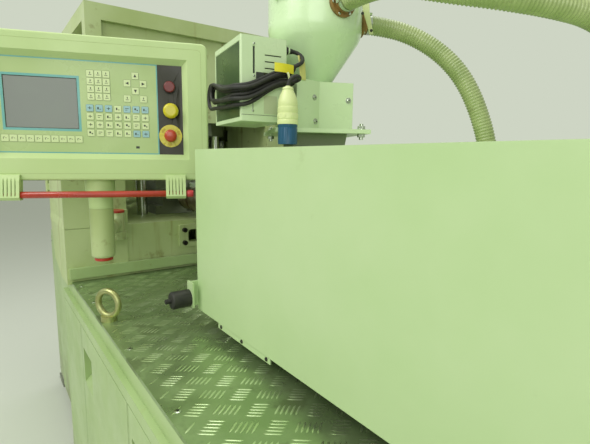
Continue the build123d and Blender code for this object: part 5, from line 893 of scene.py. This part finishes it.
def console_trim():
    """The gasket between bezel and housing, the bezel's fine parting line, the buttons' ribbed collars, the
    e-stop's neck, head and arrows, and the handle bar's caps.
    """
    gasket = Shape()
    ring_frame(gasket, rounded_outline(583.0, 365.0, 19.5), rounded_outline(574.0, 356.0, 16.0), 19.5, 24.0,
               CONSOLE)
    gasket.finish("bezel_gasket", "console", RUBBER)
    seam = Shape()
    ring_frame(seam, rounded_outline(546.0, 328.0, 10.0), rounded_outline(544.8, 326.8, 9.4), 49.8, 50.15,
               CONSOLE)
    seam.finish("bezel_seam", "console", surface("seam_shade", (150, 168, 106), 0.6, grain=0.05))
    collars = Shape()
    for x, y, outer, inner, high in ((190.0, 66.6, 17.0, 12.0, 4.6), (192.0, 4.2, 21.5, 12.0, 0.9)):
        rib_count = 36
        ring, hole = [], []
        for index in range(rib_count * 2):
            angle = math.pi * index / rib_count
            reach = outer if index % 2 else outer - 0.9
            ring.append((x + reach * math.cos(angle), y + reach * math.sin(angle)))
            hole.append((x + inner * math.cos(angle), y + inner * math.sin(angle)))
        ring_frame(collars, ring, hole, PANEL_Z, PANEL_Z + high, CONSOLE)
    collars.finish("button_collars", "console", BLACKENED_AND_SOCKET_SHADE)
    neck = Shape()
    spot = disc_place(190.0, -62.0, 0.0, CONSOLE)
    neck.lathe([(9.8, PANEL_Z + 2.0), (9.8, PANEL_Z + 6.4), (9.4, PANEL_Z + 6.8)], spot, 36)
    neck.finish("estop_neck", "console", STOP_RED)
    head = Shape()
    head.lathe([(10.2, 43.0), (15.6, 43.6), (16.4, 45.4), (16.4, 53.0), (15.6, 56.4), (13.0, 59.2),
                (9.0, 60.3), (4.0, 60.8), (0.0, 60.9)], spot, 44)
    made = head.finish("estop_mushroom", "estop", STOP_RED)
    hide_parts("estop_head")
    arrows = Shape()
    for index in range(3):
        turned = spot @ Matrix.Rotation(math.radians(120 * index + 20), 4, "Z")
        arrow = [(20.0, -5.0), (26.0, -5.0), (26.0, 3.0), (28.4, 3.0), (23.0, 8.4), (17.8, 3.0), (20.0, 3.0)]
        arrows.slab(arrow, PANEL_Z + 1.95, PANEL_Z + 2.15, turned)
    arrows.finish("estop_arrows", "console", surface("arrow_shade", (176, 158, 20), 0.4, grain=0.05))
    caps = Shape()
    for side in (-1, 1):
        place = side_place((side * 243.0, -217.0, 62.0), (side, 0.0, 0.0), CONSOLE)
        caps.lathe([(9.3, -14.0), (9.7, -13.0), (9.7, 0.5), (9.0, 2.2), (6.0, 3.0), (0.0, 3.1)], place, 32)
    caps.finish("handle_bar_caps", "console", PINK_CAP)


console_trim()


# Deck

TREAD_PITCH = (59.0, 85.0)
TREAD_PHASE = (667.0, -439.0)
TREAD_ANGLE = math.radians(52.0)
TREAD_LENGTH = 34.0
EYE_SPOTS = (215, 1380)


def tread_bar(shape, x, y, angle, length, width, height):
    """One raised lens-shaped bar."""
    place = Matrix.Translation((x, y, DECK_Z)) @ Matrix.Rotation(angle, 4, "Z")
    half, side, ridge = length / 2, width / 2, length * 0.3
    rim = [(-half, 0), (-ridge, -side), (ridge, -side), (half, 0), (ridge, side), (-ridge, side)]
    points = [(*spot, -0.2) for spot in rim] + [(-ridge, 0, height), (ridge, 0, height)]
    faces = [(0, 1, 6), (1, 2, 7, 6), (2, 3, 7), (3, 4, 7), (4, 5, 6, 7), (5, 0, 6)]
    shape.add(points, faces, place)


def deck_treads():
    shape = Shape()
    for column in range(-16, 17):
        for row in range(-2, 13):
            for swap in (0, 1):
                x = TREAD_PHASE[0] + TREAD_PITCH[0] * (column + swap / 2)
                y = TREAD_PHASE[1] + TREAD_PITCH[1] * (row + swap / 2)
                along = TREAD_ANGLE if swap == 0 else -TREAD_ANGLE
                for index in range(-2, 3):
                    shift = 8.8 * index
                    bar_x = x + shift * math.cos(-along)
                    bar_y = y + shift * math.sin(-along)
                    reach_x = TREAD_LENGTH / 2 * abs(math.cos(along))
                    reach_y = TREAD_LENGTH / 2 * abs(math.sin(along))
                    inside = -196 + reach_x < bar_x < 1516 - reach_x and abs(bar_y) < 482 - reach_y
                    on_rail = abs(abs(bar_y) - 180) < 18 + reach_y and bar_x > 372 - reach_x
                    at_eye = any(math.hypot(bar_x - eye_x, abs(bar_y) - 464) < 34 for eye_x in EYE_SPOTS)
                    under_hose = bar_y > 410 - reach_y and bar_x < 880
                    if inside and not on_rail and not at_eye and not under_hose:
                        tread_bar(shape, bar_x, bar_y, along, TREAD_LENGTH, 4.6, 0.95)
    shape.finish("deck_treads", "base", TREAD_STEEL, sharp=60.0)


deck_treads()


def deck_screws():
    screws = Shape()
    for x in (-150.0, 40.0, 420.0, 712.0, 1000.0, 1290.0, 1490.0):
        for y in (-467.0, 467.0):
            place = disc_place(x, y, DECK_Z)
            screws.lathe([(6.4, -0.2), (6.2, 0.7), (5.2, 1.2), (0.0, 1.3)], place, 20)
            # The dark hexagon stands in for the hex socket: painted shade.
            screws.hexagon(4.6, 1.0, 1.45, place, 1)
    screws.finish("deck_screws", "base", STAINLESS, BLACKENED_AND_SOCKET_SHADE)


deck_screws()


# Loader details

def loader_hardware():
    bolts = Shape()
    for x in (-97.0, 97.0):
        for y in (-97.0, 97.0):
            place = disc_place(x, y, 0.0, LOADER)
            bolts.lathe([(10.5, 1476.0), (10.5, 1478.0), (0.0, 1478.0)], place, 24)
            bolts.hexagon(16.5, 1478.0, 1484.4, place)
            bolts.lathe([(4.9, 1484.0), (4.9, 1489.0), (3.8, 1490.5), (0.0, 1490.5)], place, 16)
            bolts.lathe([(4.9, 1452.0), (4.9, 1466.0)], place, 16)
            bolts.hexagon(16.5, 1458.0, 1466.0, place)
    bolts.finish("flange_bolts", "carriage", STAINLESS, bevel=0.5)
    screws = Shape()
    spots = ((2.0, -15.2, 1549.6, WING), (2.0, -10.4, 1494.3, WING), (72.0, 70.2, 1546.4, LOADER))
    for x, y, z, where in spots:
        place = side_place((x, y, z), (1.0, 0.0, 0.0), where)
        screws.lathe([(7.0, -0.2), (7.0, 1.0), (0.0, 1.0)], place, 24)
        pan_screw(screws, place @ Matrix.Translation((0.0, 0.0, 1.0)), 4.6, 3.0, 0, 1)
    screws.finish("loader_box_screws", "carriage", STAINLESS, INK_AND_SHADE)
    seam = Shape()
    seam.block((72.0, 72.25), (-6.4, -5.6), (1478.0, 1587.0), LOADER)
    seam.finish("loader_box_fold", "carriage", surface("fold_shade", (168, 188, 146), 0.6, grain=0.05))
    sleeve = Shape()
    outer = rounded_outline(139.0, 139.0, 5.0)
    inner = rounded_outline(124.0, 124.0, 4.0)
    ring_frame(sleeve, outer, inner, 1426.0, 1431.0, LOADER)
    sleeve.finish("throat_seal", "carriage", RUBBER)


loader_hardware()


def port_hardware():
    """Gasket, screws and hose clamp at each of the canister's two ports."""
    gaskets, screws, clamps = Shape(), Shape(), Shape()
    for degrees, z in ((-6.8, 1756.0), (65.0, 1747.0)):
        out = (math.cos(math.radians(degrees)), math.sin(math.radians(degrees)), 0.0)
        centre = Vector((THROAT_X, 0.0, z))
        place = side_place(centre + Vector(out) * 117.0, out)
        gaskets.lathe([(24.0, 4.8), (32.4, 4.8), (32.4, 6.6), (24.0, 6.6)], place, 40)
        for index in range(6):
            angle = math.radians(60 * index + 30)
            spot = place @ Matrix.Translation((28.3 * math.cos(angle), 28.3 * math.sin(angle), 6.4))
            screws.lathe([(3.4, 0.0), (3.4, 1.8), (2.4, 2.6), (0.0, 2.7)], spot, 14)
        clamps.lathe([(23.4, 17.0), (24.6, 17.0), (24.6, 27.0), (23.4, 27.0)], place, 40)
        worm = place @ Matrix.Translation((0.0, -26.6, 22.0))
        clamps.block((-8.0, 8.0), (-3.0, 3.0), (-5.0, 5.0), worm)
        clamps.lathe([(3.4, -12.0), (3.4, -8.0)], side_place((0.0, 0.0, 0.0), (1.0, 0.0, 0.0), worm), 12)
    gaskets.finish("port_gaskets", "carriage", TAN)
    screws.finish("port_screws", "carriage", STAINLESS)
    clamps.finish("hose_clamps", "carriage", STAINLESS, bevel=0.5)


port_hardware()


def strip_faces(rows):
    """The faces of a closed bar with four points in each of its rows."""
    faces = []
    for low in range(0, 4 * rows - 4, 4):
        high = low + 4
        faces += [(low, high, high + 1, low + 1), (low + 2, low + 3, high + 3, high + 2),
                  (low, low + 2, high + 2, high), (low + 1, high + 1, high + 3, low + 3)]
    last = 4 * rows - 4
    return [*faces, (0, 1, 3, 2), (last, last + 2, last + 3, last + 1)]


def side_latch():
    """The pale toggle latch on the canister's right side and the strap at its left."""
    # The lever lies beside the hose's start, with its face towards the operator's side.
    across = Vector((0.9063, -0.4226, 0.0))
    along = Vector((0.4226, 0.9063, 0.0))
    rows = ((100.5, 1788.0, 9.0), (101.0, 1772.0, 9.0), (104.0, 1750.0, 7.5), (112.0, 1722.0, 5.5),
            (117.5, 1700.0, 4.5))
    points = []
    for reach, z, half in rows:
        for lift in (25.5, 29.0):
            for side in (-half, half):
                spot = along * (reach + 26.0 + side) + across * lift
                points.append((spot.x, spot.y, z))
    lever = Shape()
    lever.add(points, strip_faces(5), LOADER)
    lever.finish("latch_lever", "carriage", PALE_PLASTIC, bevel=1.0)
    screws = Shape()
    for reach, z in ((121.0, 1748.0), (143.0, 1708.0)):
        spot = along * reach + across * 29.0
        pan_screw(screws, side_place((spot.x, spot.y, z), across, LOADER), 3.4, 2.2, 0, 1)
    screws.finish("latch_screws", "carriage", BLACKENED_AND_SOCKET_SHADE, INK_AND_SHADE)
    strap = Shape()
    points = []
    for z, shift in ((1584.0, 0.0), (1600.0, -1.0), (1620.0, -3.0), (1638.0, -8.0)):
        for depth in (2.0, 4.6):
            points += [(depth + shift, -67.0, z), (depth + shift, -48.0, z)]
    strap.add(points, strip_faces(4), WING)
    strap.finish("cone_strap", "carriage", STRAP, bevel=0.8)


side_latch()


def control_details():
    """The dark label, display window, slots and screws of the control box; the slots are dark strips set in
    behind the face, painted shade, and two thin dark lines mark seams.
    """
    label = Shape()
    label.block((0.2, 1.0), (9.5, 180.5), (1495.5, 1653.5), CONTROL)
    label.finish("control_label", "carriage", LABEL_GREEN)
    window = Shape()
    window.block((35.2, 77.0), (-0.7, 0.4), (1575.5, 1592.0), CONTROL)
    window.finish("control_window", "carriage", WINDOW_DARK, bevel=0.4)
    dark = Shape()
    # Dark strips inside the slot openings: painted shade. The two thin lines on the face below are seams.
    for z in (1600.0, 1614.0, 1628.0):
        dark.block((56.5, 95.5), (2.2, 2.9), (z + 0.1, z + 2.4), CONTROL)
    dark.block((28.5, 32.5), (2.2, 2.9), (1589.0, 1645.0), CONTROL)
    dark.block((27.2, 28.6), (-0.15, 0.1), (1512.0, 1556.0), CONTROL)
    dark.block((1.5, 108.5), (-0.15, 0.1), (1499.4, 1500.4), CONTROL)
    dark.finish("control_slot_shade_and_seams", "carriage", INK_AND_SHADE)
    screws = Shape()
    for x, z in ((30.5, 1650.5), (30.5, 1583.5), (28.0, 1508.5)):
        pan_screw(screws, side_place((x, 0.0, z), (0.0, -1.0, 0.0), CONTROL), 2.8, 1.6, 0, 1)
    screws.finish("control_screws", "carriage", STAINLESS, INK_AND_SHADE)
    plate = Shape()
    plate.block((54.0, 86.0), (-0.4, 0.1), (1503.0, 1543.0), CONTROL)
    plate.finish("control_plate", "carriage", surface("bare_plate", (188, 200, 160), 0.4, grain=0.1))


control_details()


def lid_details():
    """The lid's clamp ring, and the fan housing's vent slots, drawn as dark strips: painted shade of the
    openings.
    """
    rings = Shape()
    rings.lathe([(112.0, 1912.0), (113.6, 1913.0), (113.6, 1921.0), (112.0, 1922.0)], LOADER, 64)
    rings.lathe([(112.0, 2052.0), (113.2, 2053.0), (113.2, 2057.0), (112.0, 2058.0)], LOADER, 64)
    rings.finish("lid_bands", "loader_lid", STAINLESS)
    slots = Shape()
    # Dark strips where the vent slots are: painted shade.
    for index in range(24):
        turned = LOADER @ Matrix.Rotation(math.radians(15 * index), 4, "Z")
        slots.block((110.5, 112.2), (-2.2, 2.2), (1960.0, 2020.0), turned)
    slots.finish("lid_vent_shade", "loader_lid", INK_AND_SHADE)


lid_details()


# Injection unit and clamp unit details

def band_terminals():
    boxes, studs = Shape(), Shape()
    for x in (-374.0, -274.0, -174.0, -74.0, 26.0, 126.0, 226.0):
        boxes.block((x + 26.0, x + 54.0), (-16.0, 16.0), (1281.0, 1303.0))
        studs.block((x + 4.0, x + 76.0), (-6.0, 6.0), (1184.0, 1189.0))
        for shift in (34.0, 46.0):
            studs.lathe([(3.0, 1303.0), (3.0, 1310.0), (0.0, 1310.5)], disc_place(x + shift, 0.0, 0.0), 14)
        for shift in (16.0, 64.0):
            place = side_place((x + shift, 0.0, 1186.0), (0.0, -1.0, 0.0))
            studs.lathe([(4.0, -16.0), (4.0, 16.0), (0.0, 16.5)], place, 14)
    boxes.finish("band_terminals", "carriage", STAINLESS, bevel=2.0)
    studs.finish("band_clamps", "carriage", BARE_STEEL, bevel=0.5)


band_terminals()


def skirt_screws():
    screws = Shape()
    for x in (494.0, 592.0, 692.0):
        for side in (-1, 1):
            place = side_place((x, side * 278.0, 1013.0), (0.0, side, 0.0))
            pan_screw(screws, place, 4.4, 2.6, 0, 1)
    screws.finish("skirt_screws", "carriage", BLACKENED_AND_SOCKET_SHADE, INK_AND_SHADE)


skirt_screws()


def panel_screws():
    """Screws round the base's fixed sheets, on all sides."""
    screws = Shape()
    even = (110.0, 512.0, 915.0)
    sides = (((-300.0, 60.0, 420.0, 780.0, 1140.0, 1490.0), (488.0,), even, (0.0, 1.0, 0.0)),
             ((-1500.0, -1120.0, -740.0, -360.0), (501.0,), even, (0.0, 1.0, 0.0)),
             ((1522.0,), (-460.0, 0.0, 460.0), (110.0, 480.0, 915.0), (1.0, 0.0, 0.0)),
             ((-1522.0,), (-380.0, 50.0, 480.0), even, (-1.0, 0.0, 0.0)),
             ((-620.0, -360.0, -1270.0, -1490.0), (-402.0,), (115.0, 910.0), (0.0, -1.0, 0.0)))
    for along, across, heights, out in sides:
        for spot in ((x, y, z) for x in along for y in across for z in heights):
            pan_screw(screws, side_place(spot, out), 5.0, 2.6, 0, 1)
    screws.finish("panel_screws", "base", STAINLESS, INK_AND_SHADE)


panel_screws()


# Floor, light and surroundings

def make_stage():
    size = 40.0
    mesh = bpy.data.meshes.new("floor")
    corners = [(-size, -size, 0), (size, -size, 0), (size, size, 0), (-size, size, 0)]
    mesh.from_pydata(corners, [], [(0, 1, 2, 3)])
    floor = bpy.data.objects.new("floor", mesh)
    floor.location.z = -0.0005
    bpy.context.scene.collection.objects.link(floor)
    pale = bpy.data.materials.new("floor_pale")
    pale.use_nodes = True
    pale.node_tree.nodes["Principled BSDF"].inputs["Base Color"].default_value = colour(214, 219, 206)
    pale.node_tree.nodes["Principled BSDF"].inputs["Roughness"].default_value = 0.9
    mesh.materials.append(pale)
    world = bpy.data.worlds.new("studio")
    bpy.context.scene.world = world
    world.use_nodes = True
    tree = world.node_tree
    back = tree.nodes["Background"]
    back.inputs["Color"].default_value = colour(222, 226, 216)
    back.inputs["Strength"].default_value = 0.62
    seen = add(tree, "ShaderNodeBackground", None, {"Color": colour(206, 213, 196), "Strength": 1.0})
    path = add(tree, "ShaderNodeLightPath")
    join = add(tree, "ShaderNodeMixShader")
    some = add(tree, "ShaderNodeMath", {"operation": "MAXIMUM"})
    direct = add(tree, "ShaderNodeMath", {"operation": "MAXIMUM"})
    tree.links.new(path.outputs["Is Camera Ray"], some.inputs[0])
    tree.links.new(path.outputs["Is Glossy Ray"], some.inputs[1])
    tree.links.new(some.outputs[0], direct.inputs[0])
    tree.links.new(path.outputs["Is Transmission Ray"], direct.inputs[1])
    tree.links.new(direct.outputs[0], join.inputs["Fac"])
    tree.links.new(back.outputs["Background"], join.inputs[1])
    tree.links.new(seen.outputs["Background"], join.inputs[2])
    tree.links.new(join.outputs["Shader"], tree.nodes["World Output"].inputs["Surface"])


def lamp(name, place, target, size, power, tint=(1.0, 1.0, 0.97)):
    data = bpy.data.lights.new(name, "AREA")
    data.shape = "SQUARE"
    data.size = size
    data.energy = power
    data.color = tint
    made = bpy.data.objects.new(name, data)
    made.location = place
    made.rotation_euler = (Vector(target) - Vector(place)).to_track_quat("-Z", "Y").to_euler()
    bpy.context.scene.collection.objects.link(made)


make_stage()
lamp("key_light", (0.4, -3.4, 4.2), (0.2, 0.0, 1.1), 2.6, 112.0)
lamp("camera_side_light", (3.6, -2.2, 2.6), (0.3, -0.1, 1.2), 2.4, 46.0)
lamp("top_light", (-0.4, 0.6, 4.8), (0.0, 0.0, 1.0), 3.5, 80.0)
bpy.context.scene.view_settings.view_transform = "Standard"
